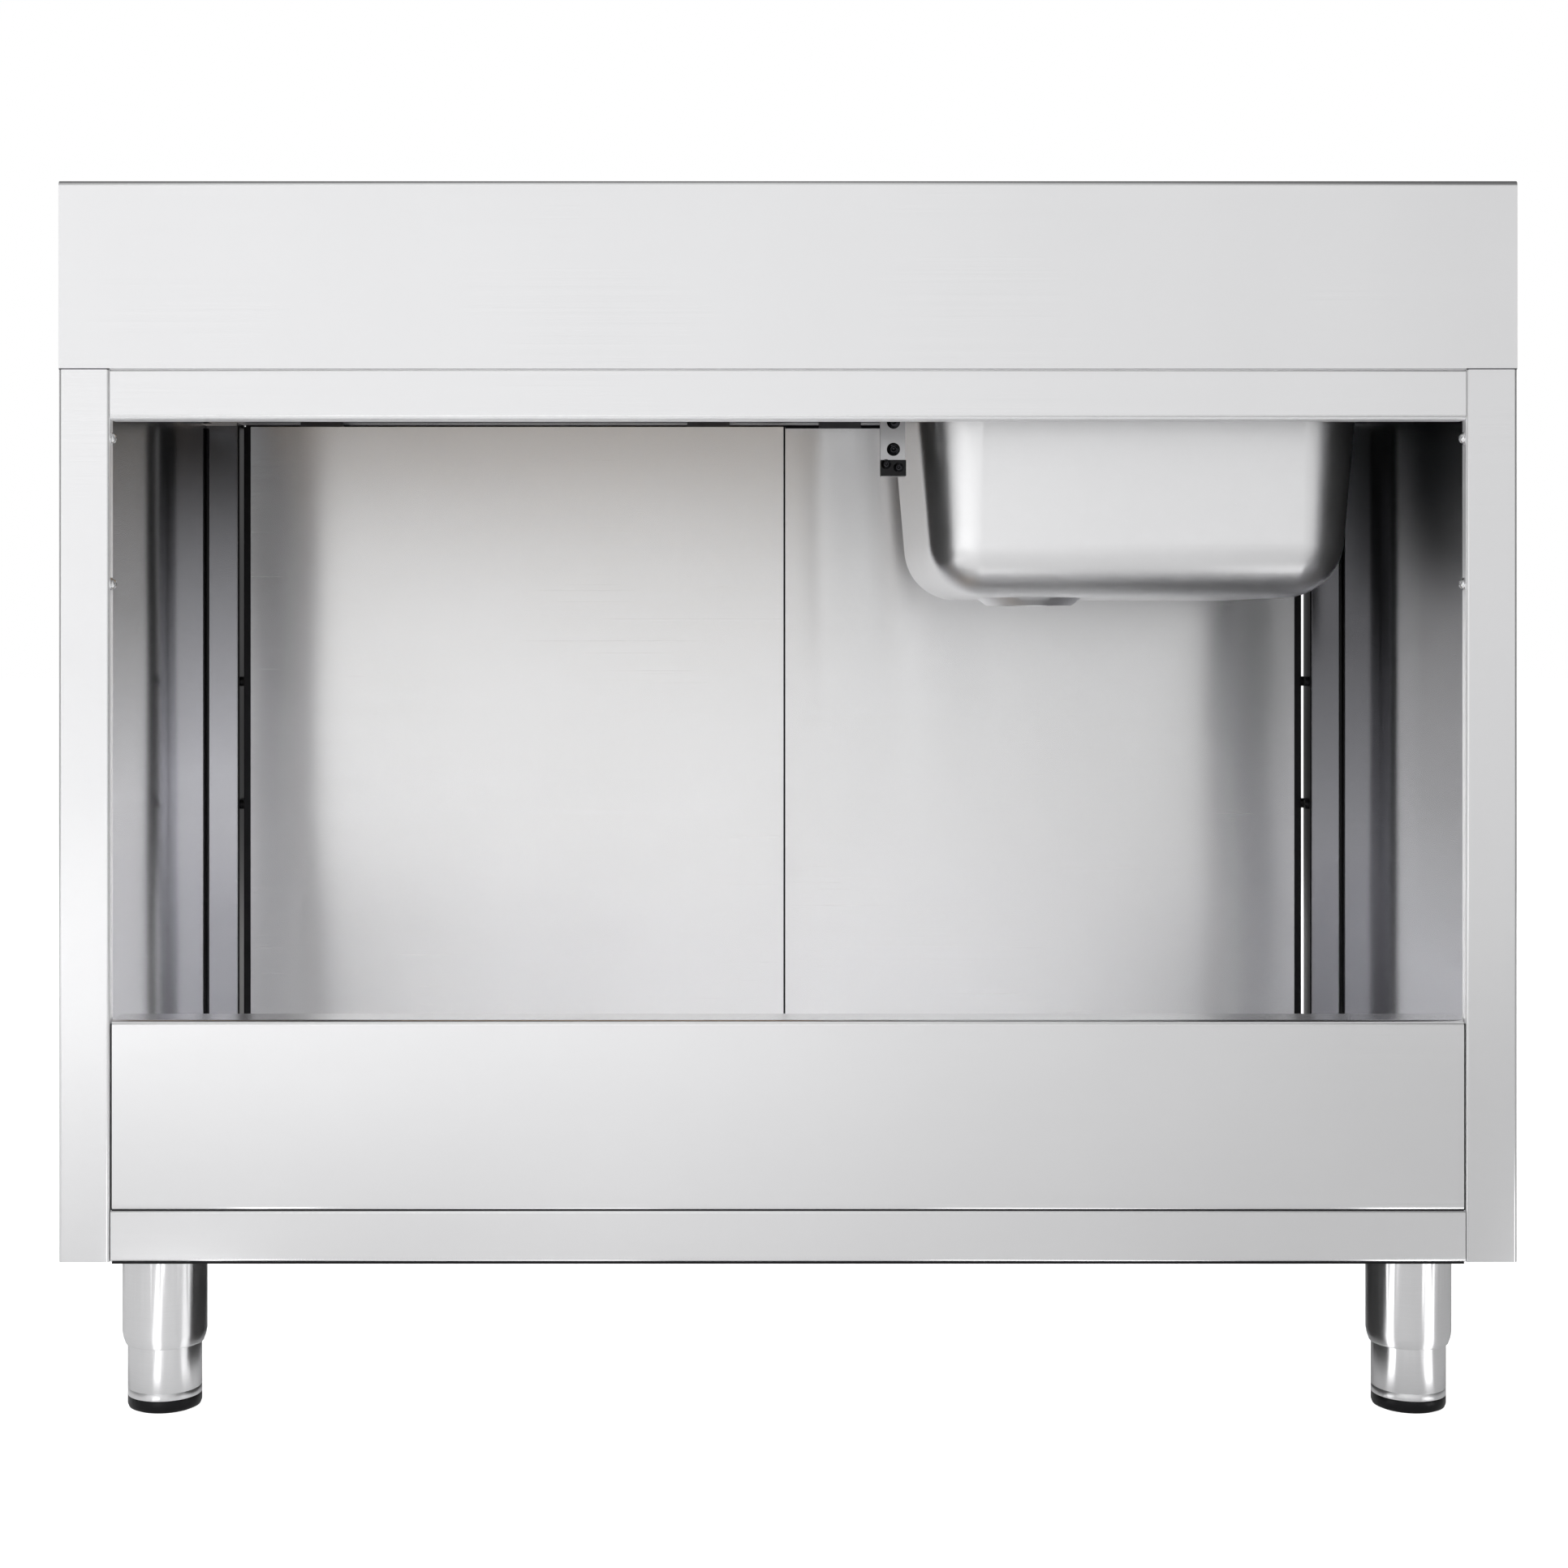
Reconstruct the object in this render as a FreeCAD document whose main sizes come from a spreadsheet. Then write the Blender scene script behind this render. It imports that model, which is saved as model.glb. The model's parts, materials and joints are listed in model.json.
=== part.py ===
import FreeCAD, Part
import math
import os
from types import SimpleNamespace

import Sketcher

# Stainless-steel sink cupboard: one welded bowl and a pressed drainer over a cabinet with an open
# back, two hanging sliding doors and four adjustable legs.
# Frame: origin at the bottom centre, on the floor. +Z is up, the doors face -Y, the open back
# faces +Y, and the bowl is on the -X side. Millimetres.

doc = FreeCAD.newDocument("sink_unit")

# Driving dimensions: alias, value, what it is.
CELLS = (
    ("width", 1200, "overall width"),
    ("depth", 600, "overall depth"),
    ("deck_height", 920, "working height, floor to rim"),
    ("splash_height", 100, "upstand above the rim"),
    ("splash_depth", 18, "upstand, front face to rear face"),
    ("skirt", 55, "worktop edge height"),
    ("top_gauge", 1.2, "worktop sheet"),
    ("gauge", 1, "cabinet sheet"),
    ("bend", 1.5, "inner bend radius of the folded sheets"),
    ("soft_bend", 3, "inner bend radius of the edges that hands reach"),
    ("edge_roll", 7, "outer radius of the worktop's front edge"),
    ("cove", 8, "radius between deck and upstand"),
    ("rim", 25, "flat rim round the drainer field"),
    ("field_drop", 8, "drop from the rim to the field"),
    ("field_corner", 14, "corner radius of the field"),
    ("field_draft", 20, "slope of the field's edge, in degrees"),
    ("tap_ledge", 74, "flat ledge between field and upstand"),
    ("tap_bore", 35, "tap hole diameter"),
    ("lip", 14, "width of the folded lips"),
    ("flute_radius", 9, "radius of a drainer flute"),
    ("flute_depth", 1.8, "depth of a flute"),
    ("flute_pitch", 45, "distance between flutes"),
    ("flute_count", 9, "number of flutes"),
    ("flute_gap", 60, "flute end to bowl or field edge"),
    ("flute_slope", 3, "run of a flute's end for its depth"),
    ("bowl_size", 400, "bowl opening, square"),
    ("bowl_depth", 232, "bowl floor below the field"),
    ("bowl_offset", 312, "bowl centre to unit centre, sideways"),
    ("bowl_share", 0.8627, "part of the spare depth that lies before the bowl"),
    ("bowl_gauge", 1, "bowl sheet"),
    ("bowl_corner", 60, "bowl corner radius in plan"),
    ("bowl_floor_roll", 50, "bowl radius between wall and floor"),
    ("bowl_draft", 5, "slope of the bowl walls, in degrees"),
    ("bowl_roll", 6, "rolled edge of the bowl"),
    ("bowl_land", 3, "flat land outside the rolled edge"),
    ("weld_gap", 0.1, "bowl land to the deck's cut edge"),
    ("drain_offset", 88, "drain centre to bowl centre, both ways"),
    ("drain_bore", 52, "drain hole diameter"),
    ("seat_top", 96, "drain seat diameter at the bowl floor"),
    ("seat_base", 77, "drain seat diameter at its bottom"),
    ("seat_drop", 7, "depth of the drain seat"),
    ("board", 15, "thickness of the board under the drainer"),
    ("board_gap", 0.3, "flutes to board"),
    ("board_edge", 30, "board edge to the field edge"),
    ("hat_offset", 32, "deck stiffener's centre beyond the bowl opening"),
    ("hat_height", 25, "height of the stiffeners' hat section"),
    ("hat_top", 22, "width of the hat section's crown"),
    ("hat_flange", 12, "width of the hat section's flanges"),
    ("bracket_width", 22, "width of the bowl bracket"),
    ("bracket_gauge", 2, "thickness of the bowl bracket"),
    ("bracket_reach", 127, "bracket's drop below the field"),
    ("bracket_offset", 17.5, "bracket centre beyond the bowl opening's side"),
    ("bracket_set", 20, "bracket face before the bowl opening's rear side"),
    ("clamp_height", 14, "height of the bracket's clamp block"),
    ("clamp_depth", 12, "depth of the clamp block"),
    ("cabinet_floor", 130, "floor to the cabinet's underside"),
    ("shelf_edge", 43, "height of the shelf's edge"),
    ("post", 42, "width of posts and jambs"),
    ("post_return", 12, "inward return of the rear posts"),
    ("jamb_return", 42, "inward return of the front jambs"),
    ("rail_height", 42, "height of the rear top rail"),
    ("rail_return", 20, "lower return of the rear top rail"),
    ("back_height", 156, "height of the rear bottom panel"),
    ("back_return", 40, "top return of the rear bottom panel"),
    ("back_gap", 1.7, "rear bottom panel to the posts"),
    ("notch_gap", 0.5, "shelf corners to the posts"),
    ("leg_inset", 78, "leg centre to the unit's side"),
    ("leg_set", 45, "leg centre to the front or rear face"),
    ("channel_width", 71, "width of the leg channels"),
    ("disc_radius", 36, "leg mounting disc"),
    ("disc_gauge", 3, "thickness of the mounting disc"),
    ("sleeve_radius", 35, "leg sleeve"),
    ("sleeve_wall", 1.5, "wall of the leg sleeve"),
    ("sleeve_length", 73, "leg sleeve below its disc"),
    ("sleeve_shoulder", 10, "height of the sleeve's drawn-in lower end"),
    ("sleeve_lip", 1.3, "wall of the sleeve at its mouth"),
    ("nut_height", 10, "nut inside the sleeve"),
    ("nut_level", 26, "underside of the nut, below the cabinet"),
    ("foot_radius", 30.6, "foot tube"),
    ("foot_wall", 2, "wall of the foot tube"),
    ("foot_length", 71, "length of the foot tube"),
    ("foot_gap", 0.4, "foot tube to the sleeve's mouth"),
    ("foot_base", 5, "thickness of the foot tube's end"),
    ("foot_groove", 0.7, "depth of the ring near the foot's end"),
    ("pad_height", 11, "rubber pad under the foot"),
    ("pad_round", 4, "rounded lower edge of the pad"),
    ("stem_radius", 8, "threaded stem"),
    ("stem_length", 118, "length of the stem"),
    ("stem_fit", 0.05, "stem to nut, radial"),
    ("stem_clear", 2, "stem to the holes above the nut, radial"),
    ("door_depth", 16, "thickness of a door"),
    ("door_setback", 3, "front door behind the cabinet's face"),
    ("door_gap", 5, "front door to rear door"),
    ("door_overlap", 22, "doors' overlap when closed"),
    ("jamb_gap", 6, "closed door to jamb"),
    ("strip", 7, "rubber strip on a door's outer edge"),
    ("door_gauge", 1, "door sheet"),
    ("door_top_gap", 4, "door top to the worktop's skirt"),
    ("pull_width", 110, "finger pull opening"),
    ("pull_height", 34, "finger pull opening"),
    ("pull_depth", 12, "depth of the finger pull"),
    ("pull_flange", 4, "flange round the finger pull"),
    ("pull_gap", 0.3, "finger pull to the hole it sits in"),
    ("pull_inset", 90, "pull centre to the door's outer edge"),
    ("pull_level", 40, "pull centre above the door's middle"),
    ("track_rise", 3, "skirt's lower edge to the top track"),
    ("track_wall", 1, "top track side walls"),
    ("ledge", 1.5, "top track ledges and crown"),
    ("race_width", 17, "inner width of a track channel"),
    ("race_height", 22, "inner height of a track channel"),
    ("slot", 5.2, "slot between the ledges"),
    ("roller_radius", 10, "door roller"),
    ("roller_width", 5, "door roller"),
    ("roller_side", 0.25, "roller to hanger"),
    ("roller_lift", 0.3, "roller to ledge"),
    ("axle_radius", 2.5, "roller axle"),
    ("axle_fit", 0.05, "roller bore to axle, radial"),
    ("axle_head", 1, "axle end beyond the roller"),
    ("hanger_gauge", 2, "hanger plate"),
    ("hanger_width", 44, "hanger plate"),
    ("hanger_foot", 12, "depth of the hanger's foot"),
    ("hanger_inset", 80, "hanger centre to the door's end"),
    ("guide_rise", 9, "bottom track base to its rib tops, with the base"),
    ("guide_base", 1.5, "bottom track base"),
    ("rib", 2, "bottom track ribs"),
    ("rib_gap", 0.3, "guide shoe to rib"),
    ("shoe_length", 34, "guide shoe along the door"),
    ("shoe_depth", 12, "guide shoe across the door"),
    ("door_floor_gap", 2, "door's lower edge above the ribs"),
    ("shoe_gap", 0.5, "guide shoe above the track's base"),
    ("buffer_radius", 5, "rubber buffer on a jamb"),
    ("buffer_gap", 0.3, "buffer to the closed door"),
    ("buffer_high", 596, "level of the upper buffers"),
    ("buffer_low", 468, "level of the lower buffers"),
)


class Size:
    """A length that carries its value and the expression that gives it."""

    def __init__(self, value, text):
        self.value = value
        self.text = text

    @staticmethod
    def of(thing):
        return thing if isinstance(thing, Size) else Size(thing, f"({thing})")

    def __add__(self, other):
        other = Size.of(other)
        return Size(self.value + other.value, f"({self.text} + {other.text})")

    def __sub__(self, other):
        other = Size.of(other)
        return Size(self.value - other.value, f"({self.text} - {other.text})")

    def __mul__(self, other):
        other = Size.of(other)
        return Size(self.value * other.value, f"({self.text} * {other.text})")

    def __truediv__(self, other):
        other = Size.of(other)
        return Size(self.value / other.value, f"({self.text} / {other.text})")

    def __radd__(self, other):
        return Size.of(other) + self

    def __rsub__(self, other):
        return Size.of(other) - self

    def __rmul__(self, other):
        return Size.of(other) * self

    def __neg__(self):
        return Size(-self.value, f"(-{self.text})")


def fill_sheet():
    """Write the cells and return one Size for each alias."""
    sheet = doc.addObject("Spreadsheet::Sheet", "sizes")
    sizes = {}
    for row, (alias, value, meaning) in enumerate(CELLS, start=1):
        sheet.set(f"A{row}", meaning)
        sheet.set(f"B{row}", str(value))
        sheet.setAlias(f"B{row}", alias)
        sizes[alias] = Size(value, f"sizes.{alias}")
    doc.recompute()
    return SimpleNamespace(**sizes)


S = fill_sheet()
NODES = []

# Levels and planes that several pieces share.
FRONT = -S.depth / 2
REAR = S.depth / 2
SIDE = S.width / 2
SKIRT_LEVEL = S.deck_height - S.skirt
FIELD = S.deck_height - S.field_drop
UNDER_FIELD = FIELD - S.top_gauge
UNDER_RIM = S.deck_height - S.top_gauge
SHELF = S.cabinet_floor + S.shelf_edge
JAMB = SIDE - S.post
BOWL_LAND = S.bowl_roll + S.bowl_land + S.weld_gap
SPARE = S.depth - S.splash_depth - S.tap_ledge - S.rim - S.bowl_size - BOWL_LAND * 2
BOWL_Y = FRONT + S.rim + BOWL_LAND + SPARE * S.bowl_share + S.bowl_size / 2
BOWL_X = -S.bowl_offset
BRACKET_FACE = BOWL_Y + S.bowl_size / 2 - S.bracket_set
FRONT_DOOR_Y = FRONT + S.door_setback + S.door_depth / 2
REAR_DOOR_Y = FRONT_DOOR_Y + S.door_depth + S.door_gap
TRACK_LEVEL = SKIRT_LEVEL + S.track_rise
LEDGE_LEVEL = TRACK_LEVEL + S.ledge
AXLE_LEVEL = LEDGE_LEVEL + S.roller_lift + S.roller_radius
TRACK_TOP = LEDGE_LEVEL + S.race_height + S.ledge
RIB_TOP = SHELF + S.guide_rise
DOOR_BOTTOM = RIB_TOP + S.door_floor_gap
DOOR_TOP = SKIRT_LEVEL - S.door_top_gap


# Sketches and features


def node(obj, name):
    """Name a finished piece; its label names its file."""
    obj.Label = name
    NODES.append(obj)
    return obj


def new_body(name):
    body = doc.addObject("PartDesign::Body", name + "_body")
    body.AllowCompound = True
    return body


def bind(obj, path, size):
    obj.setExpression(path, Size.of(size).text)


def place(obj, x=0, y=0, z=0):
    bind(obj, "Placement.Base.x", x)
    bind(obj, "Placement.Base.y", y)
    bind(obj, "Placement.Base.z", z)


def heading(start, end):
    """Unit step along an axis from one corner to the next."""
    du = Size.of(end[0]).value - Size.of(start[0]).value
    dv = Size.of(end[1]).value - Size.of(start[1]).value
    if abs(du) > abs(dv):
        return (math.copysign(1, du), 0)
    return (0, math.copysign(1, dv))


def loop_parts(corners):
    """Lines and arcs of a closed outline as (start, end, radius, turn).

    A corner is (u, v) or (u, v, radius). The edges that meet at a rounded corner lie along the axes.
    """
    ends = []
    count = len(corners)
    for index, corner in enumerate(corners):
        if len(corner) == 2:
            ends.append((corner, corner, None, 0))
            continue
        u, v, radius = corner
        into = heading(corners[index - 1], corner)
        out = heading(corner, corners[(index + 1) % count])
        start = (u - radius * into[0], v - radius * into[1])
        end = (u + radius * out[0], v + radius * out[1])
        centre = (start[0] + radius * out[0], start[1] + radius * out[1])
        ends.append((start, end, (radius, centre, into, out), into[0] * out[1] - into[1] * out[0]))
    return ends


def vector(u, v):
    return FreeCAD.Vector(Size.of(u).value, Size.of(v).value, 0)


def fix_point(sketch, element, point, place_uv):
    """Hold a sketch point at its distances from the origin."""
    for kind, size in zip(("DistanceX", "DistanceY"), place_uv):
        size = Size.of(size)
        constraint = Sketcher.Constraint(kind, -1, 1, element, point, size.value)
        index = sketch.addConstraint(constraint)
        bind(sketch, f"Constraints[{index}]", size)


def draw_loop(sketch, corners):
    """Draw one closed outline, with every point and radius held by a size."""
    ends = loop_parts(corners)
    joints = []
    for index, (start, end, arc, turn) in enumerate(ends):
        following = ends[(index + 1) % len(ends)]
        if arc:
            radius, centre, into, out = arc
            reach = Size.of(radius).value / math.sqrt(2)
            middle = vector(*centre) + FreeCAD.Vector(into[0] - out[0], into[1] - out[1], 0) * reach
            element = sketch.addGeometry(Part.Arc(vector(*start), middle, vector(*end)))
            first, last = (1, 2) if turn > 0 else (2, 1)
            fix_point(sketch, element, first, start)
            constraint = Sketcher.Constraint("Radius", element, Size.of(radius).value)
            bind(sketch, f"Constraints[{sketch.addConstraint(constraint)}]", radius)
            joints.append((element, first, last))
        if vector(*end).isEqual(vector(*following[0]), 1e-6):
            continue
        element = sketch.addGeometry(Part.LineSegment(vector(*end), vector(*following[0])))
        fix_point(sketch, element, 1, end)
        joints.append((element, 1, 2))
    for (element, _, last), (after, first, _) in zip(joints, joints[1:] + joints[:1]):
        sketch.addConstraint(Sketcher.Constraint("Coincident", element, last, after, first))


def draw_circle(sketch, centre, radius):
    circle = Part.Circle(vector(*centre), FreeCAD.Vector(0, 0, 1), Size.of(radius).value)
    element = sketch.addGeometry(circle)
    fix_point(sketch, element, 3, centre)
    index = sketch.addConstraint(Sketcher.Constraint("Radius", element, Size.of(radius).value))
    bind(sketch, f"Constraints[{index}]", radius)


def new_sketch(body, name, role, offset=0, shift=0):
    """A sketch on one of the body's own origin planes, moved along the plane's normal."""
    sketch = body.newObject("Sketcher::SketchObject", name + "_sketch")
    planes = {feature.Role: feature for feature in body.Origin.OriginFeatures}
    sketch.AttachmentSupport = [(planes[role + "_Plane"], "")]
    sketch.MapMode = "FlatFace"
    bind(sketch, "AttachmentOffset.Base.y", shift)
    bind(sketch, "AttachmentOffset.Base.z", offset)
    return sketch


def section_sketch(body, name, role, loops, low, high):
    """A sketch at the end of a stretch that runs along its plane's normal."""
    offset = -Size.of(high) if role == "XZ" else low
    sketch = new_sketch(body, name, role, offset)
    for loop in loops:
        if isinstance(loop, dict):
            draw_circle(sketch, loop["centre"], loop["radius"])
        else:
            draw_loop(sketch, loop)
    return sketch


def pad(body, name, role, loops, low, high):
    """Add a section that reaches from low to high along X (YZ), Y (XZ) or Z (XY)."""
    feature = body.newObject("PartDesign::Pad", name)
    feature.Profile = section_sketch(body, name, role, loops, low, high)
    bind(feature, "Length", Size.of(high) - low)
    return feature


def cut(body, name, role, loops, low, high):
    """Take a section away between low and high."""
    before = solid_volume(body)
    feature = body.newObject("PartDesign::Pocket", name)
    feature.Profile = section_sketch(body, name, role, loops, low, high)
    bind(feature, "Length", Size.of(high) - low)
    feature.Reversed = True
    if solid_volume(body) >= before:
        raise ValueError(f"{name} cuts nothing")
    return feature


def solid_volume(body):
    doc.recompute()
    return body.Shape.Volume


def turn(body, name, corners):
    """Revolve an outline of (radius, level) corners about the Z axis."""
    sketch = new_sketch(body, name, "XZ")
    draw_loop(sketch, corners)
    feature = body.newObject("PartDesign::Revolution", name)
    feature.Profile = sketch
    feature.ReferenceAxis = (sketch, ["V_Axis"])
    return feature


def fillet(body, name, radius, wanted):
    """Round the edges of the body's last feature whose end points all pass the test."""
    doc.recompute()
    base = body.Tip
    edges = [
        f"Edge{index}"
        for index, edge in enumerate(base.Shape.Edges, start=1)
        if all(wanted(vertex.Point) for vertex in edge.Vertexes)
    ]
    feature = body.newObject("PartDesign::Fillet", name)
    feature.Base = (base, edges)
    bind(feature, "Radius", radius)
    return feature


def near(value, size):
    return abs(value - Size.of(size).value) < 1e-4


def box(u0, u1, v0, v1, radius=None):
    """Corners of a rectangle, rounded if a radius is given."""
    corners = [(u0, v0), (u1, v0), (u1, v1), (u0, v1)]
    if radius is None:
        return corners
    return [(u, v, radius) for u, v in corners]


def circle(u, v, radius):
    return {"centre": (u, v), "radius": radius}


def folded(path, side, gauge, bend):
    """Section of a sheet folded square along a path.

    The sheet lies to the left (side 1) or right (side -1) of the path. A path point may carry a
    bend radius of its own.
    """
    steps = [heading(start, end) for start, end in zip(path, path[1:])]
    near_side = []
    far_side = []
    for index, point in enumerate(path):
        before = steps[max(index - 1, 0)]
        after = steps[min(index, len(steps) - 1)]
        normals = {(-before[1], before[0]), (-after[1], after[0])}
        shift_u = side * sum(normal[0] for normal in normals)
        shift_v = side * sum(normal[1] for normal in normals)
        u, v = point[0], point[1]
        moved = (u + gauge * shift_u, v + gauge * shift_v)
        if index in (0, len(path) - 1):
            near_side.append((u, v))
            far_side.append(moved)
            continue
        inner = point[2] if len(point) == 3 else bend
        sheet_inside = (before[0] * after[1] - before[1] * after[0]) * side > 0
        outer = inner + gauge
        near_side.append((u, v, outer if sheet_inside else inner))
        far_side.append(moved + ((inner if sheet_inside else outer),))
    return near_side + far_side[::-1]


def folded_sheet(name, role, path, side, gauge, low, high, bend=S.bend):
    """A folded sheet as long as the stretch from low to high."""
    body = new_body(name)
    pad(body, name + "_section", role, [folded(path, side, gauge, bend)], low, high)
    return node(body, name)


# Worktop and bowl


def bowl_opening(grow):
    """Outline of the bowl opening, grown all round."""
    half = S.bowl_size / 2 + grow
    corner = S.bowl_corner + grow
    return box(BOWL_X - half, BOWL_X + half, BOWL_Y - half, BOWL_Y + half, corner)


def field_outline(grow):
    half = SIDE - S.rim + grow
    front = FRONT + S.rim - grow
    rear = REAR - S.splash_depth - S.tap_ledge + grow
    return box(-half, half, front, rear, S.field_corner + grow)


def tray(body, name, grow, top, bottom):
    """Drafted block of the dropped field, between two levels."""
    feature = body.newObject("PartDesign::Pad" if grow else "PartDesign::Pocket", name)
    feature.Profile = section_sketch(body, name, "XY", [field_outline(grow)], top, top)
    bind(feature, "Length", top - bottom)
    bind(feature, "TaperAngle", -S.field_draft)
    feature.Reversed = bool(grow)
    return feature


def flute(body, name, kind, extra):
    """One drainer flute: the lower part of a pointed rod, turned about its own axis.

    The groove's rod runs out to points above the sheet. The rod that is thicker by the sheet makes
    the bulge below the deck, and starts where the flute does.
    """
    start = BOWL_X + S.bowl_size / 2 + S.flute_gap
    end = SIDE - S.rim - S.flute_gap
    level = FIELD + S.flute_radius - S.flute_depth
    first = -(FRONT + S.rim + FLUTE_MARGIN)
    radius = S.flute_radius + extra
    foot = radius - S.flute_depth
    run = S.flute_slope * S.flute_depth
    deep = [(start + run, -radius), (end - run, -radius)]
    sketch = new_sketch(body, name, "XZ", first, level)
    if extra:
        draw_loop(sketch, [(start, 0), (start, -foot)] + deep + [(end, -foot), (end, 0)])
    else:
        reach = S.flute_slope * foot
        draw_loop(sketch, [(start - reach, 0)] + deep + [(end + reach, 0)])
    feature = body.newObject(kind, name)
    feature.Profile = sketch
    feature.ReferenceAxis = (sketch, ["H_Axis"])
    feature.Midplane = True
    cosine = (S.flute_radius - S.flute_depth) / S.flute_radius
    feature.setExpression("Angle", f"2 * acos({cosine.text})")
    return feature


FLUTE_SPAN = (S.flute_count - 1) * S.flute_pitch
FLUTE_MARGIN = (S.depth - S.splash_depth - S.tap_ledge - S.rim - FLUTE_SPAN) / 2


def worktop():
    """Pressed top: front skirt, rim, dropped field with flutes, coved hollow upstand, end skirts."""
    body = new_body("worktop")
    t = S.top_gauge
    front_of_splash = REAR - S.splash_depth
    top = S.deck_height + S.splash_height
    outer = [
        (FRONT, SKIRT_LEVEL),
        (FRONT, S.deck_height, S.edge_roll),
        (front_of_splash, S.deck_height, S.cove),
        (front_of_splash, top, S.soft_bend + t),
        (REAR, top, S.soft_bend + t),
        (REAR, SKIRT_LEVEL),
    ]
    inner = [
        (FRONT + t, SKIRT_LEVEL),
        (FRONT + t, UNDER_RIM, S.edge_roll - t),
        (front_of_splash + t, UNDER_RIM, S.cove + t),
        (front_of_splash + t, top - t, S.soft_bend),
        (REAR - t, top - t, S.soft_bend),
        (REAR - t, SKIRT_LEVEL + t),
        (REAR - S.lip, SKIRT_LEVEL + t),
        (REAR - S.lip, SKIRT_LEVEL),
    ]
    pad(body, "top_outer", "YZ", [outer], -SIDE, SIDE)
    cut(body, "top_hollow", "YZ", [inner], t - SIDE, SIDE - t)
    tray(body, "field_tray", t, S.deck_height - t, UNDER_FIELD)
    tray(body, "field_recess", 0, S.deck_height, FIELD)
    bulge = flute(body, "flute_bulge", "PartDesign::Revolution", t)
    groove = flute(body, "flute_groove", "PartDesign::Groove", 0)
    doc.recompute()
    flutes = body.newObject("PartDesign::LinearPattern", "flutes")
    flutes.Originals = [bulge, groove]
    flutes.Direction = (groove.Profile[0], ["N_Axis"])
    flutes.Reversed = True
    bind(flutes, "Length", FLUTE_SPAN)
    bind(flutes, "Occurrences", S.flute_count)
    body.Tip = flutes
    cut(body, "bowl_cutout", "XY", [bowl_opening(BOWL_LAND)], UNDER_FIELD - t, S.deck_height)
    tap_y = REAR - S.splash_depth - S.tap_ledge / 2
    tap = circle(BOWL_X, tap_y, S.tap_bore / 2)
    cut(body, "tap_hole", "XY", [tap], UNDER_RIM - t, S.deck_height + t)
    return node(body, "worktop")


def bowl_form(name, grow, depth, flange, flare, low, high):
    """Drafted, rounded bowl volume with a flange above it and a rolled edge between the two."""
    body = new_body(name)
    wall = body.newObject("PartDesign::Pad", name + "_wall")
    wall.Profile = section_sketch(body, name + "_wall", "XY", [bowl_opening(grow)], FIELD, FIELD)
    wall.Reversed = True
    bind(wall, "Length", depth)
    bind(wall, "TaperAngle", -S.bowl_draft)
    floor = FIELD - depth
    fillet(body, name + "_floor", S.bowl_floor_roll + grow, lambda p: near(p.z, floor))
    pad(body, name + "_flange", "XY", [bowl_opening(flange)], low, high)
    reach = (S.bowl_size / 2 + S.bowl_roll / 2).value
    middle = FreeCAD.Vector(BOWL_X.value, BOWL_Y.value, 0)

    def under_flange(point):
        away = point - middle
        return near(point.z, low) and max(abs(away.x), abs(away.y)) < reach

    fillet(body, name + "_roll", flare, under_flange)
    return body


def bowl():
    """Welded bowl: rolled edge, drafted walls, rounded floor and a drain seat in one corner."""
    t = S.bowl_gauge
    outer = bowl_form(
        "bowl_outside", t, S.bowl_depth + t, S.bowl_roll + S.bowl_land,
        S.bowl_roll - t, UNDER_FIELD, FIELD,
    )
    inner = bowl_form(
        "bowl_inside", 0, S.bowl_depth, S.bowl_roll * 2, S.bowl_roll, FIELD, FIELD + S.field_drop,
    )
    floor = FIELD - S.bowl_depth
    shell = doc.addObject("Part::Cut", "bowl_shell")
    shell.Base = outer
    shell.Tool = inner
    seat = new_body("drain_seat")
    top = S.seat_top / 2
    base = S.seat_base / 2
    turn(seat, "seat_dish", [
        (0, floor - S.seat_drop - t),
        (base, floor - S.seat_drop - t),
        (top, floor - t / 2),
        (0, floor - t / 2),
    ])
    dish = new_body("drain_dish")
    turn(dish, "dish_hollow", [
        (0, floor - S.seat_drop - t * 2),
        (S.drain_bore / 2, floor - S.seat_drop - t * 2),
        (S.drain_bore / 2, floor - S.seat_drop),
        (base - t, floor - S.seat_drop),
        (top - t, floor),
        (top - t, floor + t),
        (0, floor + t),
    ])
    drain_x = BOWL_X + S.drain_offset
    drain_y = BOWL_Y + S.drain_offset
    place(seat, drain_x, drain_y)
    place(dish, drain_x, drain_y)
    joined = doc.addObject("Part::Fuse", "bowl_with_seat")
    joined.Base = shell
    joined.Tool = seat
    finished = doc.addObject("Part::Cut", "bowl")
    finished.Base = joined
    finished.Tool = dish
    return node(finished, "bowl")


# Under the deck


def hat(name, role, centre, crown_level, low, high, up):
    """Hat section: flanges at the crown level plus the hat's height, crown at the crown level."""
    gauge = S.gauge
    half = S.hat_top / 2
    rim_level = crown_level + S.hat_height
    outer = half + S.hat_flange
    path = [
        (centre - outer, rim_level),
        (centre - half, rim_level),
        (centre - half, crown_level),
        (centre + half, crown_level),
        (centre + half, rim_level),
        (centre + outer, rim_level),
    ]
    return folded_sheet(name, role, path, up, gauge, low, high)


def deck_board():
    """Sound-deadening board under the flutes."""
    body = new_body("deck_board")
    top = FIELD - S.flute_depth - S.top_gauge - S.board_gap
    left = BOWL_X + S.bowl_size / 2 + S.flute_gap
    right = SIDE - S.rim - S.board_edge
    front = FRONT + S.jamb_return + S.gauge
    rear = REAR - S.splash_depth - S.tap_ledge - S.board_edge
    pad(body, "board", "XY", [box(left, right, front, rear, S.cove)], top - S.board, top)
    return node(body, "deck_board")


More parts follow.
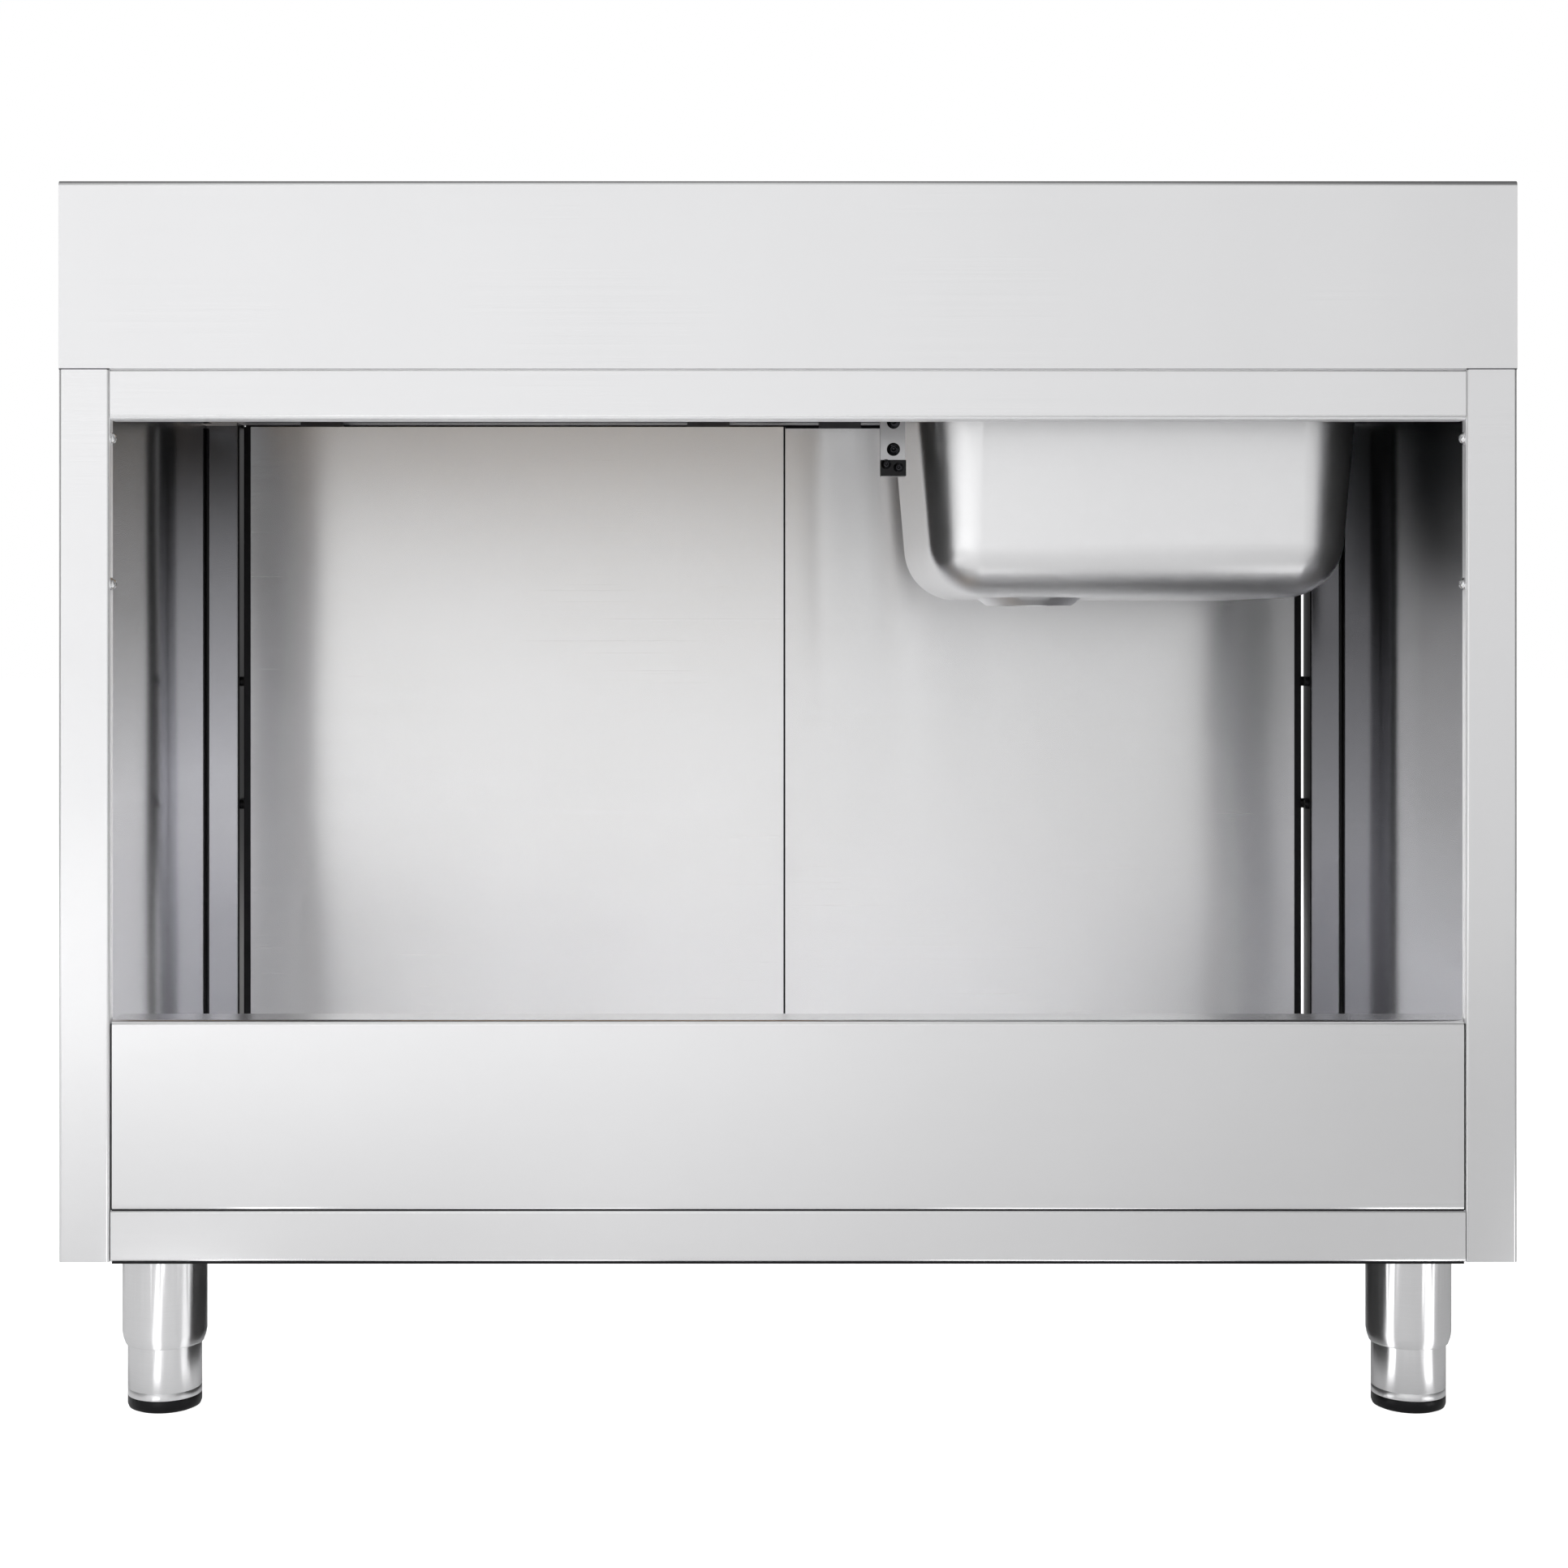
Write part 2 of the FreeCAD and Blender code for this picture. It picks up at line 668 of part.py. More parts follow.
def bowl_bracket():
    """Strap that hangs from the deck beside the bowl, with a clamp block at its lower end."""
    body = new_body("bowl_bracket")
    face = BRACKET_FACE
    left = BOWL_X + S.bowl_size / 2 + S.bracket_offset - S.bracket_width / 2
    right = left + S.bracket_width
    bottom = UNDER_FIELD - S.bracket_reach
    path = [
        (face - S.hat_top, UNDER_FIELD),
        (face, UNDER_FIELD),
        (face, bottom),
    ]
    pad(body, "strap", "YZ", [folded(path, -1, S.bracket_gauge, S.bend)], left, right)
    block = box(face, face + S.clamp_depth, bottom, bottom + S.clamp_height)
    pad(body, "clamp", "YZ", [block], left, right)
    return node(body, "bowl_bracket")


def front_beam():
    """Channel between the top track and the deck."""
    rear_edge = FRONT + S.jamb_return
    front_edge = FRONT + S.top_gauge + S.notch_gap
    path = [
        (rear_edge, UNDER_FIELD),
        (rear_edge, TRACK_TOP),
        (front_edge, TRACK_TOP),
        (front_edge, UNDER_RIM - S.edge_roll),
    ]
    reach = SIDE - S.top_gauge
    return folded_sheet("front_beam", "YZ", path, -1, S.gauge, -reach, reach)


# Cabinet


def side_panel(name, side):
    """Side sheet with the front jamb and the rear post folded on, and a flange under the top."""
    body = new_body(name)
    path = [
        (side * JAMB, FRONT + S.jamb_return),
        (side * JAMB, FRONT),
        (side * SIDE, FRONT),
        (side * SIDE, REAR),
        (side * JAMB, REAR),
        (side * JAMB, REAR - S.post_return),
    ]
    outline = folded(path, side, S.gauge, S.bend)
    pad(body, name + "_wrap", "XY", [outline], S.cabinet_floor, SKIRT_LEVEL)
    front = FRONT + S.jamb_return + S.notch_gap
    rear = REAR - S.post_return - S.notch_gap
    inner = SIDE - S.gauge - S.lip
    flange = sorted_box(side * inner, side * (SIDE - S.gauge / 2), front, rear)
    pad(body, name + "_flange", "XY", [flange], SKIRT_LEVEL - S.gauge, SKIRT_LEVEL)
    return node(body, name)


def sorted_box(u0, u1, v0, v1, radius=None):
    """A rectangle whose first two bounds may come in either order."""
    low, high = sorted((u0, u1), key=lambda size: Size.of(size).value)
    return box(low, high, v0, v1, radius)


def rear_top_rail():
    path = [
        (REAR - S.lip, SKIRT_LEVEL),
        (REAR, SKIRT_LEVEL),
        (REAR, SKIRT_LEVEL - S.rail_height, S.soft_bend),
        (REAR - S.rail_return, SKIRT_LEVEL - S.rail_height),
    ]
    return folded_sheet("rear_top_rail", "YZ", path, -1, S.gauge, -JAMB, JAMB)


def rear_bottom_panel():
    top = SHELF + S.back_height
    reach = JAMB - S.back_gap
    path = [
        (REAR - S.lip, SHELF),
        (REAR, SHELF),
        (REAR, top, S.soft_bend),
        (REAR - S.back_return, top),
        (REAR - S.back_return, top - S.lip),
    ]
    return folded_sheet("rear_bottom_panel", "YZ", path, 1, S.gauge, -reach, reach)


def base_shelf():
    """Shelf with deep front and rear edges, and wings that reach the sides behind the posts."""
    body = new_body("base_shelf")
    reach = JAMB - S.notch_gap
    path = [
        (FRONT + S.lip, S.cabinet_floor),
        (FRONT, S.cabinet_floor),
        (FRONT, SHELF),
        (REAR, SHELF),
        (REAR, S.cabinet_floor),
        (REAR - S.lip, S.cabinet_floor),
    ]
    pad(body, "shelf_channel", "YZ", [folded(path, -1, S.gauge, S.bend)], -reach, reach)
    front = FRONT + S.jamb_return + S.notch_gap
    rear = REAR - S.post_return - S.notch_gap
    wall = SIDE - S.gauge
    for side, word in ((-1, "left"), (1, "right")):
        wing = [
            (side * (reach - S.lip), SHELF),
            (side * wall, SHELF),
            (side * wall, S.cabinet_floor),
        ]
        section = folded(wing, -side, S.gauge, S.bend)
        pad(body, f"shelf_wing_{word}", "XZ", [section], front, rear)
    return node(body, "base_shelf")


def leg_places():
    """The four legs' signs and centres: front left, front right, rear left, rear right."""
    places = []
    for along in (-1, 1):
        for across in (-1, 1):
            x = across * (SIDE - S.leg_inset)
            y = along * (S.depth / 2 - S.leg_set)
            places.append((x, y))
    return places


def leg_channel(name, side):
    """Channel under the shelf, front to rear, with a clearance hole over each leg."""
    body = new_body(name)
    centre = side * (SIDE - S.leg_inset)
    half = S.channel_width / 2
    top = SHELF - S.gauge
    path = [
        (centre - half, top),
        (centre - half, S.cabinet_floor),
        (centre + half, S.cabinet_floor),
        (centre + half, top),
    ]
    reach = S.depth / 2 - S.lip - S.notch_gap
    pad(body, name + "_section", "XZ", [folded(path, 1, S.gauge, S.bend)], -reach, reach)
    radius = S.stem_radius + S.stem_clear
    holes = [circle(centre, y, radius) for x, y in leg_places() if near(x.value, centre)]
    cut(body, name + "_holes", "XY", holes, S.cabinet_floor - S.gauge, S.cabinet_floor + S.gauge * 2)
    return node(body, name)


def leg_sleeve(name, x, y):
    """Mounting disc, sleeve drawn in at its lower end, and the nut web inside it."""
    body = new_body(name)
    top = S.cabinet_floor
    under_disc = top - S.disc_gauge
    mouth = under_disc - S.sleeve_length
    inner = S.sleeve_radius - S.sleeve_wall
    nut_bottom = top - S.nut_level
    nut_top = nut_bottom + S.nut_height
    stem_bore = S.stem_radius + S.stem_fit
    throat = S.foot_radius + S.foot_gap
    shoulder = mouth + S.sleeve_shoulder
    waist = (S.sleeve_radius * 2 + throat + S.sleeve_lip) / 3
    turn(body, name + "_section", [
        (S.stem_radius + S.stem_clear, top),
        (S.stem_radius + S.stem_clear, under_disc),
        (inner, under_disc),
        (inner, nut_top),
        (stem_bore, nut_top),
        (stem_bore, nut_bottom),
        (inner, nut_bottom),
        (inner, shoulder),
        (throat, mouth + S.sleeve_lip),
        (throat, mouth),
        (throat + S.sleeve_lip, mouth),
        (waist, mouth + S.sleeve_shoulder / 2),
        (S.sleeve_radius, shoulder),
        (S.sleeve_radius, under_disc),
        (S.disc_radius, under_disc),
        (S.disc_radius, top),
    ])
    place(body, x, y)
    return node(body, name)


def foot(number, x, y):
    """Foot tube, its rubber pad and the stem that screws into the sleeve's nut."""
    tube = new_body(f"foot_tube_{number}")
    low = S.pad_height
    radius = S.foot_radius
    inner = radius - S.foot_wall
    ring = low + S.foot_base
    turn(tube, f"foot_tube_{number}_section", [
        (0, low),
        (radius, low),
        (radius, ring),
        (radius - S.foot_groove, ring + S.foot_groove),
        (radius, ring + S.foot_groove * 2),
        (radius, low + S.foot_length),
        (inner, low + S.foot_length),
        (inner, low + S.foot_base),
        (0, low + S.foot_base),
    ])
    pad_body = new_body(f"foot_pad_{number}")
    turn(pad_body, f"foot_pad_{number}_section", [
        (0, 0),
        (radius - S.pad_round, 0),
        (radius - S.pad_round / 4, S.pad_round / 3),
        (radius, S.pad_round),
        (radius, S.pad_height),
        (0, S.pad_height),
    ])
    stem = new_body(f"foot_stem_{number}")
    low = S.pad_height + S.foot_base
    section = [circle(0, 0, S.stem_radius)]
    pad(stem, f"foot_stem_{number}_rod", "XY", section, low, low + S.stem_length)
    for body, word in ((tube, "tube"), (pad_body, "pad"), (stem, "stem")):
        place(body, x, y)
        node(body, f"foot_{word}_{number}")


# Tracks and doors


def top_track():
    """Two hanging channels side by side, each open below through its slot."""
    body = new_body("top_track")
    ledge_half = S.slot / 2
    race_half = S.race_width / 2
    ceiling = LEDGE_LEVEL + S.race_height
    outline = [(FRONT_DOOR_Y - race_half - S.track_wall, TRACK_LEVEL)]
    for centre in (FRONT_DOOR_Y, REAR_DOOR_Y):
        outline += [
            (centre - ledge_half, TRACK_LEVEL),
            (centre - ledge_half, LEDGE_LEVEL),
            (centre - race_half, LEDGE_LEVEL),
            (centre - race_half, ceiling),
            (centre + race_half, ceiling),
            (centre + race_half, LEDGE_LEVEL),
            (centre + ledge_half, LEDGE_LEVEL),
            (centre + ledge_half, TRACK_LEVEL),
        ]
    rear_wall = REAR_DOOR_Y + race_half + S.track_wall
    outline += [
        (rear_wall, TRACK_LEVEL),
        (rear_wall, TRACK_TOP),
        (FRONT_DOOR_Y - race_half - S.track_wall, TRACK_TOP),
    ]
    pad(body, "top_track_section", "YZ", [outline], -JAMB, JAMB)
    return node(body, "top_track")


def bottom_track():
    """Guide track on the shelf: a front lip that hides it, and one rib for each door."""
    body = new_body("bottom_track")
    front = FRONT + S.gauge
    rear = FRONT + S.jamb_return
    base = SHELF + S.guide_base
    half = S.rib / 2
    outline = [(front, SHELF), (rear, SHELF), (rear, base)]
    for centre in (REAR_DOOR_Y, FRONT_DOOR_Y):
        outline += [
            (centre + half, base),
            (centre + half, RIB_TOP),
            (centre - half, RIB_TOP),
            (centre - half, base),
        ]
    outline += [(front + S.guide_base, base), (front + S.guide_base, RIB_TOP), (front, RIB_TOP)]
    reach = JAMB - S.notch_gap
    pad(body, "bottom_track_section", "YZ", [outline], -reach, reach)
    return node(body, "bottom_track")


def door_buffers(name, side):
    """Rubber buffers on a jamb, two for each door."""
    body = new_body(name)
    face = JAMB
    tip = JAMB - S.jamb_gap + S.buffer_gap
    studs = [
        circle(y, z, S.buffer_radius)
        for y in (FRONT_DOOR_Y, REAR_DOOR_Y)
        for z in (S.buffer_low, S.buffer_high)
    ]
    low, high = sorted((side * face, side * tip), key=lambda size: size.value)
    pad(body, name + "_studs", "YZ", studs, low, high)
    return node(body, name)


def door(name, side, middle):
    """A hollow door pan with liner, core, finger pull, edge strip, guide shoes and two hangers."""
    front = middle - S.door_depth / 2
    rear = middle + S.door_depth / 2
    inner_x = -side * S.door_overlap / 2
    outer_x = side * (JAMB - S.jamb_gap - S.strip)
    gauge = S.door_gauge
    pull_x = side * (JAMB - S.jamb_gap - S.pull_inset)
    pull_z = (DOOR_BOTTOM + DOOR_TOP) / 2 + S.pull_level

    def pull_loop(grow):
        half = S.pull_width / 2 + grow
        high = S.pull_height / 2 + grow
        return box(pull_x - half, pull_x + half, pull_z - high, pull_z + high, high)

    def face_loop(shrink):
        step = side * shrink
        return sorted_box(inner_x + step, outer_x - step, DOOR_BOTTOM + shrink, DOOR_TOP - shrink)

    hole = pull_loop(gauge + S.pull_gap)
    skin = new_body(name + "_skin")
    pad(skin, name + "_pan", "XZ", [face_loop(0)], front, rear - gauge)
    fillet(skin, name + "_edges", S.bend, lambda p: near(p.y, front))
    cut(skin, name + "_inside", "XZ", [face_loop(gauge)], front + gauge, rear)
    cut(skin, name + "_pull_hole", "XZ", [hole], front - gauge, front + gauge * 2)
    node(skin, name + "_skin")

    liner = new_body(name + "_liner")
    pad(liner, name + "_liner_plate", "XZ", [face_loop(0)], rear - gauge, rear)
    node(liner, name + "_liner")

    core = new_body(name + "_core")
    pad(core, name + "_core_block", "XZ", [face_loop(gauge)], front + gauge, rear - gauge)
    cut(core, name + "_core_hole", "XZ", [hole], front, rear)
    node(core, name + "_core")

    cup = new_body(name + "_pull")
    pad(cup, name + "_flange", "XZ", [pull_loop(S.pull_flange)], front - gauge, front)
    pad(cup, name + "_cup", "XZ", [pull_loop(gauge)], front, front + S.pull_depth)
    cut(cup, name + "_cup_hollow", "XZ", [pull_loop(0)], front - gauge * 2, front + S.pull_depth - gauge)
    node(cup, name + "_pull")

    strip = new_body(name + "_strip")
    edge = sorted_box(outer_x, side * (JAMB - S.jamb_gap), DOOR_BOTTOM, DOOR_TOP)
    pad(strip, name + "_strip_bar", "XZ", [edge], front, rear)
    node(strip, name + "_strip")

    centres = [inner_x + side * S.hanger_inset, side * (JAMB - S.jamb_gap - S.hanger_inset)]
    guides = new_body(name + "_guides")
    half = S.shoe_depth / 2
    slot_half = S.rib / 2 + S.rib_gap
    low = SHELF + S.guide_base + S.shoe_gap
    slot_top = RIB_TOP + S.rib_gap
    shoe = [
        (middle - half, low),
        (middle - slot_half, low),
        (middle - slot_half, slot_top),
        (middle + slot_half, slot_top),
        (middle + slot_half, low),
        (middle + half, low),
        (middle + half, DOOR_BOTTOM),
        (middle - half, DOOR_BOTTOM),
    ]
    for number, centre in enumerate(centres, start=1):
        start = centre - S.shoe_length / 2
        pad(guides, f"{name}_shoe_{number}", "YZ", [shoe], start, start + S.shoe_length)
    node(guides, name + "_guides")

    for number, centre in enumerate(centres, start=1):
        hanger(f"{name}_hanger_{number}", centre, middle)
        roller_pair(f"{name}_rollers_{number}", centre, middle)


def hanger(name, x, y):
    """Foot on the door's top, upright through the slot, and the axle across it."""
    body = new_body(name)
    half = S.hanger_width / 2
    foot_top = DOOR_TOP + S.hanger_gauge
    top = AXLE_LEVEL + S.roller_radius / 2
    thick = S.hanger_gauge / 2
    foot_half = S.hanger_foot / 2
    plate = box(x - half, x + half, y - foot_half, y + foot_half)
    pad(body, name + "_foot", "XY", [plate], DOOR_TOP, foot_top)
    upright = [
        (x - half, DOOR_TOP),
        (x + half, DOOR_TOP),
        (x + half, top, S.roller_radius),
        (x - half, top, S.roller_radius),
    ]
    pad(body, name + "_upright", "XZ", [upright], y - thick, y + thick)
    reach = thick + S.roller_side + S.roller_width + S.axle_head
    pad(body, name + "_axle", "XZ", [circle(x, AXLE_LEVEL, S.axle_radius)], y - reach, y + reach)
    return node(body, name)


def roller_pair(name, x, y):
    """Two nylon rollers on one axle, one each side of the hanger."""
    body = new_body(name)
    rings = [
        circle(x, AXLE_LEVEL, S.roller_radius),
        circle(x, AXLE_LEVEL, S.axle_radius + S.axle_fit),
    ]
    inner = S.hanger_gauge / 2 + S.roller_side
    outer = inner + S.roller_width
    pad(body, name + "_front", "XZ", rings, y - outer, y - inner)
    pad(body, name + "_rear", "XZ", rings, y + inner, y + outer)
    return node(body, name)


def build():
    worktop()
    bowl()
    deck_board()
    hat("deck_stiffener", "XZ", BOWL_X + S.bowl_size / 2 + S.hat_offset, UNDER_FIELD - S.hat_height,
        FRONT + S.jamb_return + S.gauge, BRACKET_FACE - S.hat_top * 2, -1)
    bowl_bracket()
    front_beam()
    side_panel("side_panel_left", -1)
    side_panel("side_panel_right", 1)
    rear_top_rail()
    rear_bottom_panel()
    base_shelf()
    end = S.depth / 2 - S.lip - S.notch_gap
    hat("shelf_stiffener", "XZ", Size.of(0), SHELF - S.gauge - S.hat_height, -end, end, -1)
    leg_channel("leg_channel_left", -1)
    leg_channel("leg_channel_right", 1)
    for number, (x, y) in enumerate(leg_places(), start=1):
        leg_sleeve(f"leg_sleeve_{number}", x, y)
        foot(number, x, y)
    top_track()
    bottom_track()
    door_buffers("door_buffers_left", -1)
    door_buffers("door_buffers_right", 1)
    door("door_left", -1, FRONT_DOOR_Y)
    door("door_right", 1, REAR_DOOR_Y)


def check():
    """Stop on any feature that failed and on any piece that isn't a valid solid."""
    doc.recompute()
    for obj in doc.Objects:
        if "Invalid" in obj.State or "Error" in obj.State:
            raise RuntimeError(f"{obj.Label} failed: {obj.State}")
    for obj in NODES:
        if obj.Shape.isNull() or not obj.Shape.isValid() or not obj.Shape.Solids:
            raise RuntimeError(f"{obj.Label} is not a valid solid")


def export():
    os.makedirs("parts", exist_ok=True)
    for obj in NODES:
        obj.Shape.exportStep(f"parts/{obj.Label}.step")
        bounds = obj.Shape.BoundBox
        print(f"{obj.Label:24} {len(obj.Shape.Solids)} solids, {bounds}")


build()
check()
export()
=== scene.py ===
import json
import math

import bmesh
import bpy
from mathutils import Matrix, Vector


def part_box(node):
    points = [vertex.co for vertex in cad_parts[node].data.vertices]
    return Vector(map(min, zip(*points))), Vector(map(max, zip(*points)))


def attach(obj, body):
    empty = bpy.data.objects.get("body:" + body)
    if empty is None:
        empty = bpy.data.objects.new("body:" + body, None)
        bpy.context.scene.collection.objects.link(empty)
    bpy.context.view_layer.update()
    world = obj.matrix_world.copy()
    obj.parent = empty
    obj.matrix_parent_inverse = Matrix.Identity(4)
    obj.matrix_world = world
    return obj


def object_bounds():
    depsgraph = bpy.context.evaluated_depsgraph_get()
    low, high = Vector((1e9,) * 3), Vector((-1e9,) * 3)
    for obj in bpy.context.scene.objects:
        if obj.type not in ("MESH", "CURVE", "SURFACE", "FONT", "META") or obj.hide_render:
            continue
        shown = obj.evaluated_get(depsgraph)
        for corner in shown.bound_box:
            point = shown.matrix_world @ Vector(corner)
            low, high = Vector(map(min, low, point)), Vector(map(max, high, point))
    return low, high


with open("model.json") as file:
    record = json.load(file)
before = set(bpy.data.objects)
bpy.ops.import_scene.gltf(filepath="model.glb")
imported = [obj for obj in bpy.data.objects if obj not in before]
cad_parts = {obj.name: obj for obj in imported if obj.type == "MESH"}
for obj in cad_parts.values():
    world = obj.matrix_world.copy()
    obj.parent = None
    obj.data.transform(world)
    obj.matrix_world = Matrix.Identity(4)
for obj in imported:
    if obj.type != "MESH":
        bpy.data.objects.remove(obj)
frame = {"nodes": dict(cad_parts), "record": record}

CAD_BOX = [list(corner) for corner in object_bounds()]

# The unit stands with its open back towards +Y, where the camera is, and its doors towards -Y.
# Places are in metres, and MM turns millimetres into them.
MM = 0.001
SHEET_GAUGE = 1.0 * MM
TOP_GAUGE = 1.2 * MM
JAMB_DEPTH = 42 * MM


# Camera, in the photograph's frame of 1932 by 1932 pixels

PHOTO = 1932
FOCAL_PIXELS = 3176
SENSOR = 36                    # width in millimetres
CAMERA_PLACE = Vector((0.052, 2.420, 0.652))
STRAIGHT_AHEAD = (893, 773.5)   # the pixel that lies level with the lens
SIGHT = 200                    # farthest that the camera sees, in metres


def add_camera():
    """Level camera straight behind the unit, with the frame shifted as a view camera's is."""
    data = bpy.data.cameras.new("camera")
    data.sensor_width = SENSOR
    data.lens = FOCAL_PIXELS / PHOTO * SENSOR
    data.shift_x = (PHOTO / 2 - STRAIGHT_AHEAD[0]) / PHOTO
    data.shift_y = (STRAIGHT_AHEAD[1] - PHOTO / 2) / PHOTO
    data.clip_end = SIGHT
    camera = bpy.data.objects.new("camera", data)
    camera.location = CAMERA_PLACE
    camera.rotation_euler = (math.radians(90), 0, math.radians(180))
    bpy.context.scene.collection.objects.link(camera)
    bpy.context.scene.camera = camera


# Node helpers


class Tree:
    """A node tree with short calls to add and join nodes."""

    def __init__(self, owner):
        owner.use_nodes = True
        self.tree = owner.node_tree
        self.tree.nodes.clear()

    def add(self, kind, inputs=None, **settings):
        node = self.tree.nodes.new(kind)
        for name, value in settings.items():
            setattr(node, name, value)
        for name, value in (inputs or {}).items():
            self.put(value, node.inputs[name])
        return node

    def put(self, value, socket):
        """Join an output to a socket, or set the socket's own value."""
        if isinstance(value, bpy.types.NodeSocket):
            self.tree.links.new(value, socket)
        else:
            socket.default_value = value

    def math(self, operation, first, second=0.0, clamp=False):
        node = self.add("ShaderNodeMath", operation=operation, use_clamp=clamp)
        self.put(first, node.inputs[0])
        self.put(second, node.inputs[1])
        return node.outputs[0]

    def times(self, first, second):
        return self.math("MULTIPLY", first, second)

    def weighted(self, first, second, weights):
        """Sum of two values, each by its weight."""
        return self.math("ADD", self.times(first, weights[0]), self.times(second, weights[1]))

    def product(self, first, second):
        """Product of two colours."""
        node = self.add("ShaderNodeVectorMath", operation="MULTIPLY")
        self.put(first, node.inputs[0])
        self.put(second, node.inputs[1])
        return node.outputs[0]

    def spread(self, share, low, high):
        """A share from 0 to 1, spread from low to high."""
        node = self.add("ShaderNodeMapRange", {"Value": share, "To Min": low, "To Max": high})
        return node.outputs["Result"]

    def share(self, value, low, high):
        """How far a value has come on the way from low to high, from 0 to 1."""
        node = self.add("ShaderNodeMapRange", {"Value": value, "From Min": low, "From Max": high})
        return node.outputs["Result"]

    def ramp(self, share, stops):
        """A colour ramp with (position, grey or colour) stops."""
        node = self.add("ShaderNodeValToRGB", {"Fac": share})
        elements = node.color_ramp.elements
        while len(elements) < len(stops):
            elements.new(0.5)
        for element, (position, colour) in zip(elements, stops):
            element.position = position
            if isinstance(colour, (int, float)):
                colour = (colour, colour, colour)
            element.color = tuple(colour) + (1,)
        return node.outputs["Color"]

    def place(self):
        """Where a point of the surface is."""
        return self.add("ShaderNodeTexCoord").outputs["Object"]

    def axes(self, vector):
        """The X, Y and Z of a vector."""
        node = self.add("ShaderNodeSeparateXYZ", {"Vector": vector})
        return node.outputs["X"], node.outputs["Y"], node.outputs["Z"]

    def noise(self, place, scale, detail):
        node = self.add("ShaderNodeTexNoise", {"Vector": place, "Scale": scale, "Detail": detail})
        return node.outputs["Fac"]

    def bump(self, height, strength, distance, **normal):
        node = self.add("ShaderNodeBump", {
            "Height": height, "Strength": strength, "Distance": distance, **normal,
        })
        return node.outputs[0]

    def blend(self, share, first, second):
        """Two shaders mixed, with this share of the second."""
        node = self.add("ShaderNodeMixShader", {"Fac": share})
        self.put(first.outputs[0], node.inputs[1])
        self.put(second.outputs[0], node.inputs[2])
        return node

    def finish(self, shader, kind="ShaderNodeOutputMaterial"):
        output = self.add(kind)
        self.put(shader.outputs[0], output.inputs["Surface"])


def new_material(name):
    material = bpy.data.materials.new(name)
    return material, Tree(material)


def grey(value):
    return (value, value, value, 1)


def scaled(tint, factor):
    """A tint made lighter or darker, up to full white."""
    return tuple(min(1, channel * factor) for channel in tint)


# World. Metal mirrors a studio whose tone is the product of three ramps: from -X to +X, from
# ahead of the camera to behind it, and from the horizon to straight up.

SIDE_RANGE = (-0.6, 0.4)
SIDE_TONES = [(0.0, 0.60), (0.30, 0.76), (0.60, 0.94), (0.85, 1.01)]
FACING_TONES = [(0.0, 0.34), (0.35, 0.26), (0.60, 0.24), (0.78, 0.40), (0.90, 0.92), (0.97, 1.0)]
CEILING_TONES = [(0.0, 1.0), (0.35, 0.95), (1.0, 0.50)]
STEEPEST = 0.05                # keeps the bearing finite for rays that go straight up
SOFT_LIGHT = 0.10


def add_world():
    """White to the camera; to metal, a studio that is bright behind the camera and dim in front."""
    world = bpy.data.worlds.new("studio")
    bpy.context.scene.world = world
    t = Tree(world)
    paths = t.add("ShaderNodeLightPath")
    across, away, up = t.axes(t.add("ShaderNodeTexCoord").outputs["Generated"])
    sideways = t.ramp(t.share(across, *SIDE_RANGE), SIDE_TONES)
    flatness = t.math("SQRT", t.math("SUBTRACT", 1.0, t.math("POWER", up, 2.0), clamp=True))
    facing = t.math("DIVIDE", away, t.math("MAXIMUM", flatness, STEEPEST))
    depth = t.ramp(t.share(facing, -1.0, 1.0), FACING_TONES)
    ceiling = t.ramp(t.share(up, 0.0, 1.0), CEILING_TONES)
    seen = t.product(t.product(sideways, depth), ceiling)
    studio = t.add("ShaderNodeBackground", {"Color": seen, "Strength": 1.0})
    white = t.add("ShaderNodeBackground", {"Color": grey(1), "Strength": 1.0})
    soft = t.add("ShaderNodeBackground", {"Color": grey(1), "Strength": SOFT_LIGHT})
    mirrored = t.blend(paths.outputs["Is Glossy Ray"], soft, studio)
    clear = t.math("MAXIMUM", paths.outputs["Is Camera Ray"], paths.outputs["Is Transmission Ray"])
    t.finish(t.blend(clear, mirrored, white), "ShaderNodeOutputWorld")


# Floor

FLOOR_SIZE = 60
FLOOR_TONE = 0.92
CAMERA_GLOW = 0.93             # brings the floor up to white for the camera
MIRROR_GLOW = 0.10
SHADED_SIDE = (0.1, -1.1)      # painted shade: from here to here along X, metal mirrors a darker floor
SHADED_BY = 0.46
FAR_FLOOR = (3.3, 5.0)         # from here to here along Y, metal mirrors a brighter floor
FAR_GLOW = 0.70
FAR_FOLLOWS = 0.4              # power of the floor's tone that the far glow goes by


def stage_sheet(name, corners, material):
    """A flat piece of the studio, from four corners."""
    mesh = bpy.data.meshes.new(name)
    mesh.from_pydata(corners, [], [(0, 1, 2, 3)])
    mesh.materials.append(material)
    sheet = bpy.data.objects.new(name, mesh)
    bpy.context.scene.collection.objects.link(sheet)
    return sheet


